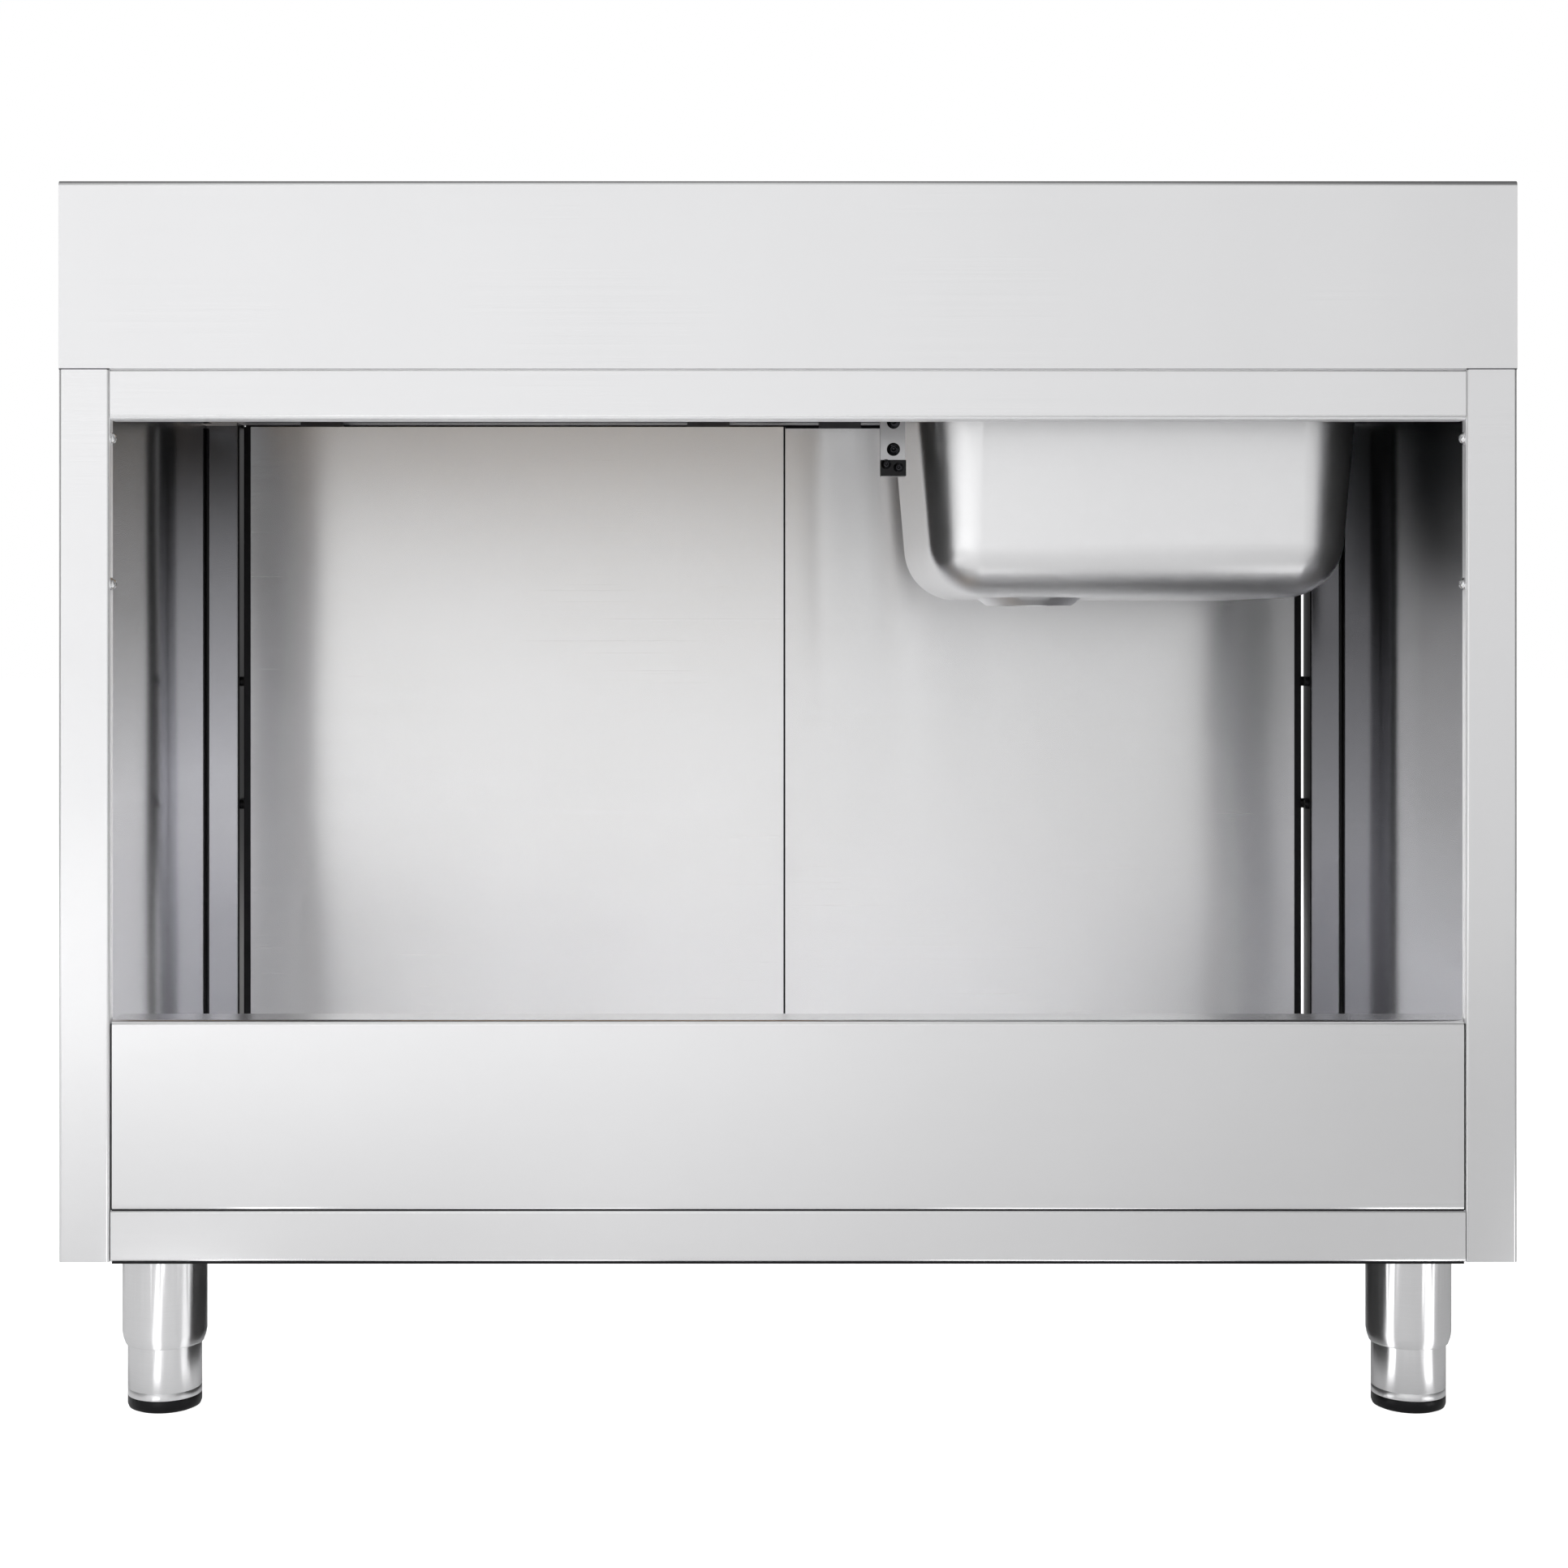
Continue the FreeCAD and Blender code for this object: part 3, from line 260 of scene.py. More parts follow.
def add_floor():
    """A pale floor that shows white, and still takes the unit's shadow."""
    material, t = new_material("floor")
    paths = t.add("ShaderNodeLightPath")
    across, away, _ = t.axes(t.place())
    # Painted shade: only mirrors see the floor darken towards -X.
    shade = t.times(t.share(across, *SHADED_SIDE), SHADED_BY)
    shade = t.times(shade, paths.outputs["Is Glossy Ray"])
    tone = t.times(t.math("SUBTRACT", 1.0, shade), FLOOR_TONE)
    lit = t.add("ShaderNodeBsdfDiffuse", {"Color": tone})
    seen = t.times(paths.outputs["Is Camera Ray"], CAMERA_GLOW)
    far = t.times(t.share(away, *FAR_FLOOR), FAR_GLOW)
    far = t.times(far, t.math("POWER", tone, FAR_FOLLOWS))
    mirrored = t.times(t.math("ADD", far, MIRROR_GLOW), paths.outputs["Is Glossy Ray"])
    glow = t.add("ShaderNodeEmission", {"Strength": t.math("ADD", seen, mirrored)})
    both = t.add("ShaderNodeAddShader")
    t.put(lit.outputs[0], both.inputs[0])
    t.put(glow.outputs[0], both.inputs[1])
    t.finish(both)
    half = FLOOR_SIZE / 2
    corners = [(-half, -half, 0), (half, -half, 0), (half, half, 0), (-half, half, 0)]
    stage_sheet("floor", corners, material)


# Studio cards for metal, which only mirrors see: black flags paint dark reflections and glowing wedges
# paint highlights.

# Black flags, which paint dark reflections into the bowl and the rear legs: name, plane X, and the
# ranges along Y and Z.
FLAGS = (
    ("bowl_flag_inner", -0.055, (0.04, 0.215), (0.645, 0.862)),
    ("bowl_flag_outer", -0.545, (0.04, 0.215), (0.645, 0.862)),
    ("leg_flag_left", -0.44, (-0.2, 0.285), (0.002, 0.125)),
    ("leg_flag_right", 0.44, (-0.2, 0.285), (0.002, 0.125)),
)
FLAG_TONE = 0.004

# Glowing wedges on the floor before the rear legs, which paint highlights on them: name, leg X,
# bearing and half width in degrees from +Y towards +X, and brightness.
LEG_HIGHLIGHT_CARDS = (
    ("leg_card_1", 0.522, 9, 9, 2.4),
    ("leg_card_2", 0.522, -70, 14, 1.3),
    ("leg_card_3", -0.522, 62, 10, 2.0),
    ("leg_card_4", -0.522, -40, 12, 2.6),
)
LEG_LINE = 0.255
CARD_REACH = (0.06, 0.42)
CARD_LEVEL = 1 * MM


def stage_card(name, corners, material):
    card = stage_sheet(name, corners, material)
    card.visible_camera = False
    card.visible_diffuse = False
    card.visible_shadow = False
    card.visible_transmission = False


def add_flags():
    """Black cards beside the bowl and the rear legs, which paint dark reflections there."""
    material, t = new_material("flag")
    t.finish(t.add("ShaderNodeBsdfDiffuse", {"Color": grey(FLAG_TONE)}))
    for name, plane, (near, far), (low, high) in FLAGS:
        corners = [(plane, near, low), (plane, far, low), (plane, far, high), (plane, near, high)]
        stage_card(name, corners, material)


def add_leg_highlight_cards():
    """Glowing wedges before the rear legs, which widen away from them and paint highlights on the legs.
    """
    for name, leg, bearing, half_width, strength in LEG_HIGHLIGHT_CARDS:
        material, t = new_material(name)
        t.finish(t.add("ShaderNodeEmission", {"Strength": strength}))
        corners = []
        for reach, turns in zip(CARD_REACH, ((-1, 1), (1, -1))):
            for turn in turns:
                angle = math.radians(bearing + turn * half_width)
                across = leg + reach * math.sin(angle)
                corners.append((across, LEG_LINE + reach * math.cos(angle), CARD_LEVEL))
        stage_card(name, corners, material)


# Lamps: name, place, aim, size in metres and power in watts. Metal doesn't mirror them.

LAMPS = (
    ("rear_left", (2.2, 3.6, 1.9), (0.1, 0.1, 0.5), (1.6, 2.4), 98),
    ("rear_right", (-2.2, 3.6, 1.9), (-0.1, 0.1, 0.5), (1.6, 2.4), 60),
    ("overhead", (0.3, 0.2, 3.2), (0, 0, 0.9), (2.4, 1.6), 18),
    ("front", (-0.8, -3.6, 1.9), (0, 0, 0.5), (2.2, 1.6), 50),
    ("inside", (0, -0.22, 0.36), (0, 0.30, 0.20), (0.9, 0.10), 3.8),
    ("inside_left", (0.30, -0.05, 0.20), (0.60, 0.0, 0.30), (0.30, 0.08), 0.4),
    ("inside_right", (-0.30, -0.05, 0.20), (-0.60, 0.0, 0.30), (0.30, 0.08), 0.2),
)


def add_lamps():
    for name, place, aim, size, power in LAMPS:
        data = bpy.data.lights.new(name, "AREA")
        data.shape = "RECTANGLE"
        data.size, data.size_y = size
        data.energy = power
        lamp = bpy.data.objects.new(name, data)
        lamp.location = place
        way = Vector(aim) - Vector(place)
        lamp.rotation_euler = way.to_track_quat("-Z", "Y").to_euler()
        lamp.visible_glossy = False
        bpy.context.scene.collection.objects.link(lamp)


# Metal. Scales of noise are repeats per metre.

METALLIC = 0.95
TONE_WEIGHTS = (0.6, 0.4)      # of scratches and haze, in the colour
WEAR_WEIGHTS = (0.7, 0.3)      # of scratches and haze, in the roughness
TONE_ENDS = (0.3, 0.7)         # noise below is fully dark, and above is fully light
ROUGH_ENDS = (0.72, 1.28)      # lowest and highest roughness, as shares of a finish's own
HAZE_SCALE = 5.0
FINE_SCALE = 900.0
FINE_WEIGHT = 0.3
RELIEF = 0.4 * MM
WAVE_SCALE = 3.2
UPWARD = {"X": 0.03, "Y": 0.02, "Z": 1.0}

# The faces that look into the cabinet, where painted shade darkens the side sheets
HALF_SHEET = SHEET_GAUGE / 2
BACK_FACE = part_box("rear_bottom_panel")[1].y - HALF_SHEET
SIDE_FACE = -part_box("side_panel_left")[0].x - HALF_SHEET
POST_INSIDE = BACK_FACE - 14 * MM
POST_DULLED = 0.5              # metallic share that the insides of the posts lose
REAR_PART = (-0.12, 0.02)      # from here to here along Y, the painted shade deepens
REAR_SHADE = 0.45
MILL_METALLIC = 0.3
MILL_ROUGHER = 0.25


def paint_shade(t, place, colour, tint, levels, shade, below=None):
    """Colour and metallic share of a piece with painted shade: a darker tone over part of it.

    The darker tone covers the faces of a side sheet that look into the cabinet, where it is painted
    shade, or all that lies below the level below, where its tint is the part's own dark colour.
    Between the two levels the tint falls to the share shade, as painted shade of the worktop that
    keeps the light off, and it falls further towards the rear, as deeper painted shade.
    """
    across, away, up = t.axes(place)
    metallic = METALLIC
    if below is None:
        inside = t.math("LESS_THAN", t.math("ABSOLUTE", across), SIDE_FACE)
        between = t.math("LESS_THAN", t.math("ABSOLUTE", away), BACK_FACE)
        share = t.times(inside, between)
        post = t.times(t.math("GREATER_THAN", away, POST_INSIDE), share)
        metallic = t.math("SUBTRACT", metallic, t.times(post, POST_DULLED))
        share = t.math("SUBTRACT", share, post)
    else:
        share = t.math("LESS_THAN", up, below)
    # Painted shade: the tint darkens up towards the worktop and further towards the rear.
    darker = scaled(tint, shade)
    darkest = scaled(darker, REAR_SHADE)
    to_rear = t.math("ADD", t.share(away, *REAR_PART), 1.0)
    shading = t.times(t.times(t.share(up, *levels), 0.5), to_rear)
    painted_shade = t.ramp(shading, [(0.0, tint), (0.5, darker), (1.0, darkest)])
    mixed = t.add("ShaderNodeMix", data_type="RGBA")
    t.put(share, mixed.inputs["Factor"])
    t.put(colour, mixed.inputs["A"])
    t.put(painted_shade, mixed.inputs["B"])
    return mixed.outputs["Result"], metallic


def mill_backed(t, place, roughness, below):
    """Metallic share and roughness of a sheet whose inward side has the mill's finish up to a level."""
    _, away, up = t.axes(place)
    inward = t.math("LESS_THAN", away, BACK_FACE)
    back = t.times(inward, t.math("LESS_THAN", up, below))
    metallic = t.math("SUBTRACT", METALLIC, t.times(back, METALLIC - MILL_METALLIC))
    return metallic, t.math("ADD", roughness, t.times(back, MILL_ROUGHER))


def brushed(name, tint, rough, grain, depth=0.012, cloud=0.02, wave=0.0, drawn_out=0.0,
            mill_below=None, painted_shade=None):
    """Brushed metal: fine scratches drawn out along one axis, faint cloudiness and wear.

    grain gives how often the scratches repeat along X, Y and Z, per metre, and depth how deep they
    look. cloud is how far the tint goes up and down. wave gives the height, in metres, of the slow
    waves that flat sheet takes on. drawn_out stretches the shine up and down, across level
    brushing. mill_below is the level for mill_backed, and the last argument holds the settings of
    the painted shade, a darker tone painted into the colour.
    """
    material, t = new_material(name)
    place = t.place()
    drawn = t.add("ShaderNodeMapping", {"Vector": place, "Scale": grain}).outputs[0]
    scratch = t.noise(drawn, 1.0, 5.0)
    haze = t.noise(place, HAZE_SCALE, 3.0)
    fine = t.noise(place, FINE_SCALE, 2.0)
    tones = zip(TONE_ENDS, (scaled(tint, 1 - cloud), scaled(tint, 1 + cloud)))
    colour = t.ramp(t.weighted(scratch, haze, TONE_WEIGHTS), list(tones))
    roughness = t.spread(t.weighted(scratch, haze, WEAR_WEIGHTS), *(rough * end for end in ROUGH_ENDS))
    metallic = METALLIC
    sheet = t.bump(t.noise(place, WAVE_SCALE, 1.0), 1.0, wave)
    relief = t.math("ADD", scratch, t.times(fine, FINE_WEIGHT))
    # Painted shade: a darker tone over the faces that look into the cabinet.
    if painted_shade is not None:
        colour, metallic = paint_shade(t, place, colour, **painted_shade)
    if mill_below is not None:
        metallic, roughness = mill_backed(t, place, roughness, mill_below)
    shader = t.add("ShaderNodeBsdfPrincipled", {
        "Base Color": colour, "Metallic": metallic, "Roughness": roughness,
        "Normal": t.bump(relief, depth, RELIEF, Normal=sheet),
    })
    if drawn_out:
        t.put(t.add("ShaderNodeCombineXYZ", UPWARD).outputs[0], shader.inputs["Tangent"])
        t.put(drawn_out, shader.inputs["Anisotropic"])
    t.finish(shader)
    return material


# Plastic, rubber and board

PATCH_SCALE = 14.0
MOULDED_ENDS = (0.85, 1.15)    # lowest and highest roughness, as shares of a finish's own
MOULDED_RELIEF = 0.3 * MM
CHIP_SCALE = 220.0
FIBRE_SCALE = 90.0
BOARD_WEIGHTS = (0.6, 0.5)     # of chips and fibre
BOARD_SHADE = 0.7
BOARD_ENDS = (0.2, 0.75)
BOARD_ROUGH = 0.85
BOARD_RELIEF = 0.6 * MM


def moulded(name, tint, rough, bumps=700.0, depth=0.15, variation=0.2, shine=0.5):
    """Plastic or rubber with a fine moulded grain."""
    material, t = new_material(name)
    place = t.place()
    grain = t.noise(place, bumps, 3.0)
    patch = t.noise(place, PATCH_SCALE, 4.0)
    lowest, highest = (min(1, rough * end) for end in MOULDED_ENDS)
    tones = zip(TONE_ENDS, (scaled(tint, 1 - variation), scaled(tint, 1 + variation)))
    t.finish(t.add("ShaderNodeBsdfPrincipled", {
        "Base Color": t.ramp(patch, list(tones)),
        "Roughness": t.spread(patch, lowest, highest),
        "Normal": t.bump(grain, depth, MOULDED_RELIEF),
        "Specular IOR Level": shine,
    }))
    return material


def board(name, tint):
    """Pressed board: chips of lighter and darker wood."""
    material, t = new_material(name)
    place = t.place()
    chips = t.add("ShaderNodeTexVoronoi", {"Vector": place, "Scale": CHIP_SCALE})
    fibre = t.noise(place, FIBRE_SCALE, 6.0)
    mixed = t.weighted(chips.outputs["Distance"], fibre, BOARD_WEIGHTS)
    tones = zip(BOARD_ENDS, (scaled(tint, BOARD_SHADE), tint))
    t.finish(t.add("ShaderNodeBsdfPrincipled", {
        "Base Color": t.ramp(mixed, list(tones)),
        "Roughness": BOARD_ROUGH,
        "Normal": t.bump(mixed, 0.3, BOARD_RELIEF),
    }))
    return material


# Finishes

STEEL = (0.87, 0.87, 0.88)

# Scratches per metre: few along the brushing direction, many across it.
ALONG = 3.0
ACROSS = 1400.0
SHEET = (ALONG, ACROSS, ACROSS)
UPRIGHT_SHEET = (ALONG, ALONG, ACROSS)
EVEN = (60.0, 60.0, 60.0)

# Painted shade on the inner faces of the side sheets, deeper on the sheet on the bowl's side.
SIDE_PAINTED_SHADE = {"tint": (0.72, 0.72, 0.75), "levels": (0.50, 0.84), "shade": 0.30}
BOWL_SIDE_PAINTED_SHADE = {"tint": (0.52, 0.52, 0.545), "levels": (0.34, 0.64), "shade": 0.50}
# The clamp block's own dark tone, under the same painted shade that darkens towards the top.
CLAMP_TONE_AND_PAINTED_SHADE = {
    "tint": (0.12, 0.12, 0.125), "levels": (0.50, 0.84), "shade": 0.30,
    "below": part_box("bowl_bracket")[0].z + 14 * MM,
}
PANEL_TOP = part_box("rear_bottom_panel")[1].z - 1.5 * MM
ABOVE_ALL = 2.0                # a level over the whole unit

# Name, tint, roughness, grain and other settings of brushed
BRUSHED = (
    ("top_steel", STEEL, 0.24, SHEET, {"wave": 0.003}),
    ("cabinet_steel", STEEL, 0.22, SHEET, {"wave": 0.002}),
    ("rail_steel", STEEL, 0.22, SHEET, {"wave": 0.002, "mill_below": ABOVE_ALL}),
    ("backed_steel", STEEL, 0.20, UPRIGHT_SHEET, {"wave": 0.002, "mill_below": PANEL_TOP}),
    ("side_steel", STEEL, 0.14, UPRIGHT_SHEET, {
        "wave": 0.001, "painted_shade": SIDE_PAINTED_SHADE, "drawn_out": 1.0,
    }),
    ("bowl_side_steel", STEEL, 0.13, UPRIGHT_SHEET, {
        "wave": 0.001, "painted_shade": BOWL_SIDE_PAINTED_SHADE, "drawn_out": 1.0,
    }),
    ("door_steel", (0.98, 0.98, 0.99), 0.25, UPRIGHT_SHEET, {"wave": 0.003, "drawn_out": 1.0}),
    ("leg_steel", (0.88, 0.88, 0.89), 0.31, (30.0, 30.0, ACROSS), {"depth": 0.04, "drawn_out": 0.85}),
    ("bowl_steel", (0.97, 0.97, 0.98), 0.31, EVEN, {"depth": 0.004}),
    ("bracket_steel", (0.60, 0.60, 0.61), 0.30, EVEN, {"painted_shade": CLAMP_TONE_AND_PAINTED_SHADE}),
    ("zinc_steel", (0.62, 0.63, 0.65), 0.35, EVEN, {"depth": 0.05, "cloud": 0.12}),
    ("bright_zinc", (0.90, 0.90, 0.91), 0.16, EVEN, {"depth": 0.02, "cloud": 0.05}),
    ("dark_steel", (0.10, 0.10, 0.105), 0.40, EVEN, {"depth": 0.05, "cloud": 0.12}),
    ("black_oxide", (0.05, 0.05, 0.055), 0.25, EVEN, {"depth": 0.05, "cloud": 0.12}),
    # track_aluminium is set dark grey, which darkens the slit under the rear rail.
    ("track_aluminium", (0.16, 0.16, 0.17), 0.34, (2.0, 900.0, 900.0), {}),
)
MOULDED = (
    ("rubber", (0.006, 0.006, 0.007), 0.30, {"depth": 0.05, "shine": 0.2}),
    ("nylon", (0.72, 0.72, 0.69), 0.40, {"bumps": 500.0, "depth": 0.08, "variation": 0.04}),
)
BOARDS = (
    ("board", (0.50, 0.36, 0.22)),
    ("door_core", (0.55, 0.42, 0.28)),
)

# Nodes whose finish isn't simply that of their material slot
NODE_FINISH = {
    "bowl": "bowl_steel",
    "rear_bottom_panel": "backed_steel",
    "bowl_bracket": "bracket_steel",
    "rear_top_rail": "rail_steel",
    "side_panel_left": "bowl_side_steel",
    "side_panel_right": "side_steel",
    # The door hangers take dark_steel, which keeps the slit under the rear rail dark.
    "door_left_hanger_1": "dark_steel",
    "door_left_hanger_2": "dark_steel",
    "door_right_hanger_1": "dark_steel",
    "door_right_hanger_2": "dark_steel",
}
SLOT_OF = {part["node"]: part["material_slot"] for part in frame["record"]["subparts"]}


def make_finishes():
    """Every material of the part, by name."""
    finishes = {name: brushed(name, *look, **more) for name, *look, more in BRUSHED}
    finishes.update({name: moulded(name, *look, **more) for name, *look, more in MOULDED})
    finishes.update({name: board(name, tint) for name, tint in BOARDS})
    return finishes


FINISHES = make_finishes()

EASED = 0.35 * MM
SHARP = 50                     # degrees from which an edge is eased
WELDED = 0.002 * MM


def dress_nodes():
    """Give each CAD piece its material, welded smooth shading and a small eased edge."""
    for name, obj in frame["nodes"].items():
        for slot in obj.material_slots:
            slot.material = FINISHES[NODE_FINISH.get(name, SLOT_OF[name])]
        weld = obj.modifiers.new("weld", "WELD")
        weld.merge_threshold = WELDED
        ease = obj.modifiers.new("ease", "BEVEL")
        ease.width = EASED
        ease.segments = 2
        ease.limit_method = "ANGLE"
        ease.angle_limit = math.radians(SHARP)
        ease.use_clamp_overlap = True
        ease.harden_normals = True


def new_piece(name, mesh, finish, body):
    piece = bpy.data.objects.new(name, mesh)
    bpy.context.scene.collection.objects.link(piece)
    mesh.materials.append(FINISHES[finish])
    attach(piece, body)


# Dome bolts and screws. Sizes are the head's radius and height, and the shares below are of these.

POST_BOLT = (4.2 * MM, 4.6 * MM)
STRAP_BOLT = (4.6 * MM, 4.5 * MM)
CLAMP_SCREW = (3.4 * MM, 3.6 * MM)
WASHER_REACH = 1.25
SOCKET_REACH = 0.42
SOCKET_RIM = 1.15              # the dome ends at this share of the socket's radius
SOCKET_TAPER = 0.9
WASHER_TOP = 0.18
HEAD_FOOT = 0.20
RIM_RISE = 0.02
SOCKET_DEPTHS = (0.35, 0.40)   # at its wall and in its middle
DOME_STEPS = 8
TURN_STEPS = 32


def turned(name, profile, base, axis):
    """Mesh of a (radius, height) profile turned about an axis that starts at base."""
    shape = bmesh.new()
    frame_of_axis = Vector(axis).to_track_quat("Z", "Y").to_matrix().to_4x4()
    place = Matrix.Translation(base) @ frame_of_axis
    rings = []
    for radius, height in profile:
        if radius == 0:
            rings.append([shape.verts.new(place @ Vector((0, 0, height)))])
            continue
        ring = []
        for step in range(TURN_STEPS):
            angle = math.tau * step / TURN_STEPS
            spot = Vector((radius * math.cos(angle), radius * math.sin(angle), height))
            ring.append(shape.verts.new(place @ spot))
        rings.append(ring)
    for lower, upper in zip(rings, rings[1:]):
        for step in range(TURN_STEPS):
            after = (step + 1) % TURN_STEPS
            if len(upper) == 1:
                shape.faces.new((lower[step], lower[after], upper[0]))
            elif len(lower) == 1:
                shape.faces.new((lower[0], upper[after], upper[step]))
            else:
                shape.faces.new((lower[step], lower[after], upper[after], upper[step]))
    bmesh.ops.recalc_face_normals(shape, faces=shape.faces)
    for face in shape.faces:
        face.smooth = True
    mesh = bpy.data.meshes.new(name)
    shape.to_mesh(mesh)
    shape.free()
    return mesh


def dome_profile(radius, height):
    """Washer, domed head and a round socket in its crown."""
    socket = radius * SOCKET_REACH
    foot = height * HEAD_FOOT
    profile = [(0, 0), (radius * WASHER_REACH, 0), (radius * WASHER_REACH, height * WASHER_TOP)]
    profile.append((radius, foot))
    for step in range(1, DOME_STEPS):
        angle = math.pi / 2 * step / DOME_STEPS
        reach = radius * math.cos(angle)
        if reach <= socket * SOCKET_RIM:
            break
        profile.append((reach, foot + (height - foot) * math.sin(angle)))
    top = profile[-1][1]
    at_wall, in_middle = (top - height * depth for depth in SOCKET_DEPTHS)
    profile += [(socket, top + height * RIM_RISE), (socket * SOCKET_TAPER, at_wall), (0, in_middle)]
    return profile


def add_dome(name, spot, axis, size, finish):
    mesh = turned(name, dome_profile(*size), spot, axis)
    new_piece(name, mesh, finish, "cabinet")


# Bolts and joint fillings are named left and right as the camera sees them.
POST_BOLT_LEVELS = (0.808, 0.688)
POST_RETURN = 12 * MM
STRAP_BOLTS = ((-0.0953, 0.8314), (-0.0952, 0.8077))        # X and Z
CLAMP_SCREWS = ((-0.0880, 0.7940), (-0.0988, 0.7912))
CLAMP_DEPTH = 12 * MM


def add_post_bolts():
    """Dome bolts on the inner returns of the two rear posts."""
    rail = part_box("rear_top_rail")
    depth_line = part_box("side_panel_left")[1].y - POST_RETURN / 2
    for side, reach in (("right", rail[0].x), ("left", rail[1].x)):
        inward = (-math.copysign(1, reach), 0, 0)
        for number, level in enumerate(POST_BOLT_LEVELS, start=1):
            spot = (reach, depth_line, level)
            add_dome(f"post_bolt_{side}_{number}", spot, inward, POST_BOLT, "bright_zinc")


def add_bracket_bolts():
    """Two dark dome bolts on the strap and two screws on its clamp block."""
    clamp_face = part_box("bowl_bracket")[1].y
    for word, places, face, size in (
        ("strap_bolt", STRAP_BOLTS, clamp_face - CLAMP_DEPTH, STRAP_BOLT),
        ("clamp_screw", CLAMP_SCREWS, clamp_face, CLAMP_SCREW),
    ):
        for number, (across, level) in enumerate(places, start=1):
            add_dome(f"{word}_{number}", (across, face, level), (0, 1, 0), size, "black_oxide")


# Rubber strips: seals on the jambs, beads in their corners, a lip on one door that is also painted
# shadow, a dust strip over both doors, thin fillings in the joints of the back and a dark strip of
# painted shade along the lower edge of the shelf

STRIP_ROUND = 0.4 * MM


def strip(name, first, second, body, round_by=STRIP_ROUND):
    """Rubber strip with eased upright edges, between two opposite corners of its box."""
    first, second = Vector(first), Vector(second)
    size = Vector([abs(length) for length in second - first])
    shape = bmesh.new()
    bmesh.ops.create_cube(shape, size=1)
    bmesh.ops.scale(shape, vec=size, verts=shape.verts)
    bmesh.ops.translate(shape, vec=(first + second) / 2, verts=shape.verts)
    upright = [edge for edge in shape.edges
               if abs(edge.verts[0].co.z - edge.verts[1].co.z) > size.z / 2]
    bmesh.ops.bevel(shape, geom=upright, offset=round_by, segments=3, affect="EDGES", profile=0.5)
    mesh = bpy.data.meshes.new(name)
    shape.to_mesh(mesh)
    shape.free()
    new_piece(name, mesh, "rubber", body)


SEAL_THICK = 1.0 * MM
SEAL_INSET = (4 * MM, 10 * MM)     # from the jamb's inner edge, and from the front
BEAD = 3.0 * MM
BEAD_ROUND = BEAD * 0.45


def add_seals():
    """Seal strips on the inner faces of the jambs and beads in the corners behind them."""
    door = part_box("door_right_skin")
    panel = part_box("side_panel_right")
    front = -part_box("rear_bottom_panel")[1].y
    for side, word in ((1, "right"), (-1, "left")):
        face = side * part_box("door_buffers_right")[1].x
        first = (face, front + SEAL_INSET[1], door[0].z)
        second = (face - side * SEAL_THICK, front + JAMB_DEPTH - SEAL_INSET[0], door[1].z)
        strip(f"jamb_seal_{word}", first, second, "cabinet")
        corner = side * (abs(panel[1].x) - SHEET_GAUGE)
        inner = front + SHEET_GAUGE
        first = (corner, inner, panel[0].z + BEAD)
        second = (corner - side * BEAD, inner + BEAD, panel[1].z - BEAD)
        strip(f"corner_bead_{word}", first, second, "cabinet", BEAD_ROUND)


DOOR_LIP_AND_SHADOW = (0.2 * MM, 2.0 * MM)     # from here to here, inwards from the door's edge
SEAL_RAISE = 0.5 * MM


def add_door_lip_and_shadow():
    """Rubber lip along the inner edge of the door nearer to the open back, clear of the buffers, as
    painted shadow between the doors.
    """
    low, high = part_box("door_right_liner")
    # Painted shadow: the lip's dark line also stands for the shadow in the gap between the doors.
    first = (low.x + DOOR_LIP_AND_SHADOW[0], high.y - SEAL_RAISE, low.z)
    second = (low.x + DOOR_LIP_AND_SHADOW[1], high.y + SEAL_RAISE, high.z)
    strip("door_lip_and_shadow", first, second, "door_right", SEAL_RAISE / 2)


SEAM = 1.0 * MM
DUST_STRIP_THICK = 1.6 * MM
DUST_STRIP_TOP = 4.5 * MM


def add_dust_strip():
    """Rubber strip behind the front skirt that closes the slit over the doors."""
    door_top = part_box("door_left_skin")[1].z
    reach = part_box("rear_top_rail")[1].x - SHEET_GAUGE
    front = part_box("worktop")[0].y + TOP_GAUGE
    first = (-reach, front, door_top + SEAM / 2)
    second = (reach, front + DUST_STRIP_THICK, door_top + DUST_STRIP_TOP)
    strip("dust_strip", first, second, "cabinet")


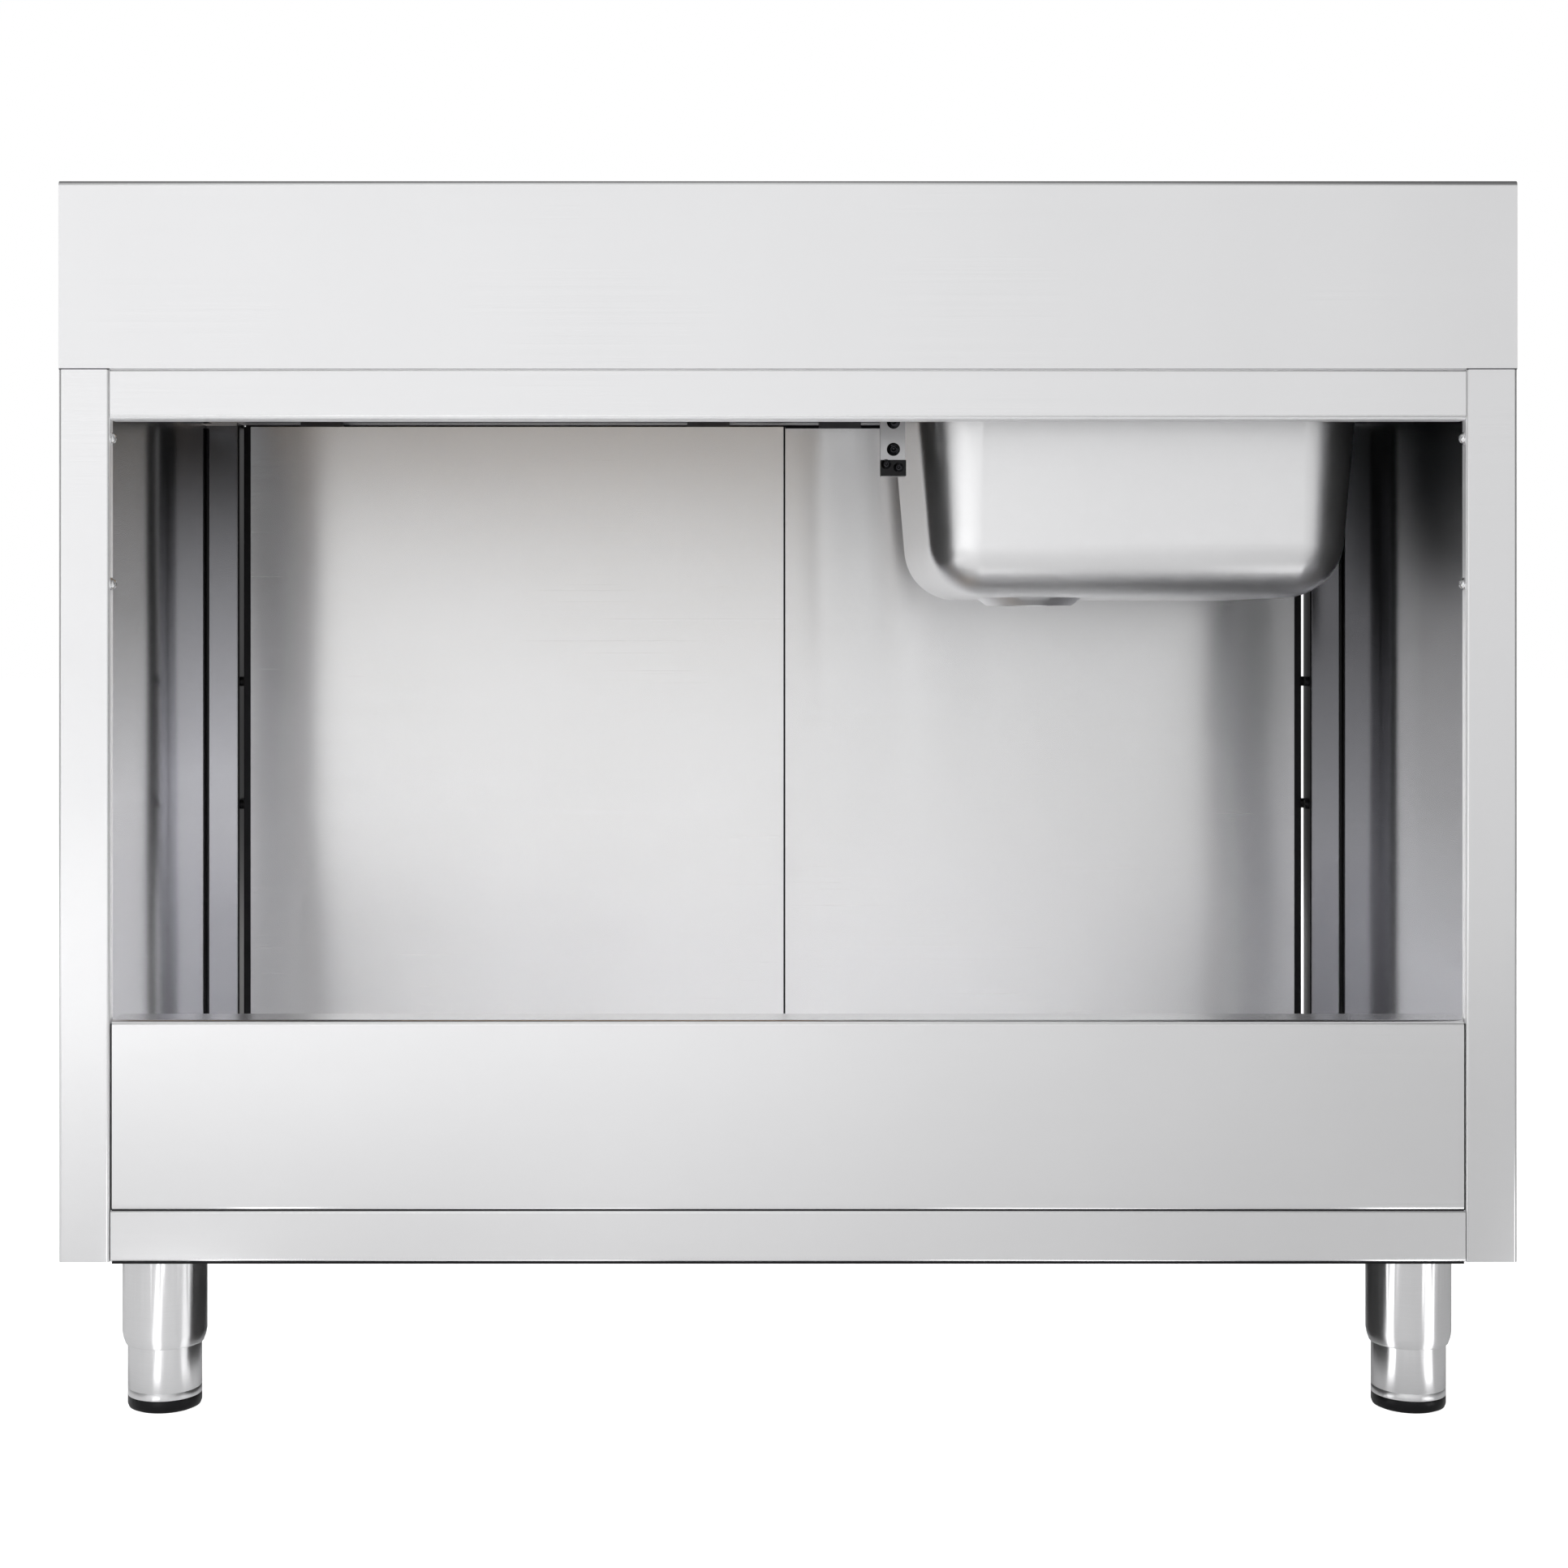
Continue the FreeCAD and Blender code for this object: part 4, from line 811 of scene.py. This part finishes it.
# Each joint filling reaches from here to here, in seams: in depth from the backs of the posts,
# and across or in level from the edge that it closes.
POST_SEAM_DEPTH = (-1 / 2, 1 / 5)
POST_SEAM_LEVEL = (-1 / 2, 1 / 3)
POST_SEAM_END = 1 / 4
PANEL_SEAM_DEPTH = (-4, -3)
PANEL_SEAM_ACROSS = (1 / 4, -5 / 2)
PANEL_SEAM_ENDS = (3, -3)
SHELF_SEAM_DEPTH = (-2.4, -0.7)
SHELF_SEAM_LEVEL = (-0.7, 0.7)
# Painted shade: a dark strip along the lower edge of the shelf, where shade falls under it.
EDGE_SHADE_DEPTH = (-2, -1 / 4)
EDGE_SHADE_LEVEL = (-1.2, 1 / 5)


def span(start, seams):
    """The two ends of a joint filling, from a face or an edge."""
    return [start + SEAM * count for count in seams]


def add_seams():
    """Dark joints: posts to top and round the rear bottom panel; along the lower edge of the shelf, a
    dark strip of painted shade.
    """
    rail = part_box("rear_top_rail")
    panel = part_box("rear_bottom_panel")
    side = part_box("side_panel_left")
    back = side[1].y
    upright = (side[0].z + SEAM * PANEL_SEAM_ENDS[0], panel[1].z + SEAM * PANEL_SEAM_ENDS[1])
    for word, inner in (("right", rail[0].x), ("left", rail[1].x)):
        way = math.copysign(1, inner)
        across = (inner, way * (CAD_BOX[1][0] - SEAM * POST_SEAM_END))
        corners = zip(across, span(back, POST_SEAM_DEPTH), span(side[1].z, POST_SEAM_LEVEL))
        strip(f"post_seam_{word}", *corners, "cabinet", SEAM / 10)
        across = [inner + way * SEAM * count for count in PANEL_SEAM_ACROSS]
        corners = zip(across, span(back, PANEL_SEAM_DEPTH), upright)
        strip(f"panel_seam_{word}", *corners, "cabinet", SEAM / 5)
    for name, depth, level, edge in (
        ("shelf_seam", SHELF_SEAM_DEPTH, SHELF_SEAM_LEVEL, panel[0].z),
        ("bottom_edge_shade", EDGE_SHADE_DEPTH, EDGE_SHADE_LEVEL, side[0].z),
    ):
        corners = zip((-panel[1].x, panel[1].x), span(back, depth), span(edge, level))
        strip(name, *corners, "cabinet", SEAM / 5)


add_camera()
add_world()
add_floor()
add_lamps()
add_flags()
add_leg_highlight_cards()
dress_nodes()
add_post_bolts()
add_bracket_bolts()
add_seals()
add_door_lip_and_shadow()
add_dust_strip()
add_seams()

bpy.context.scene.view_settings.view_transform = "Standard"
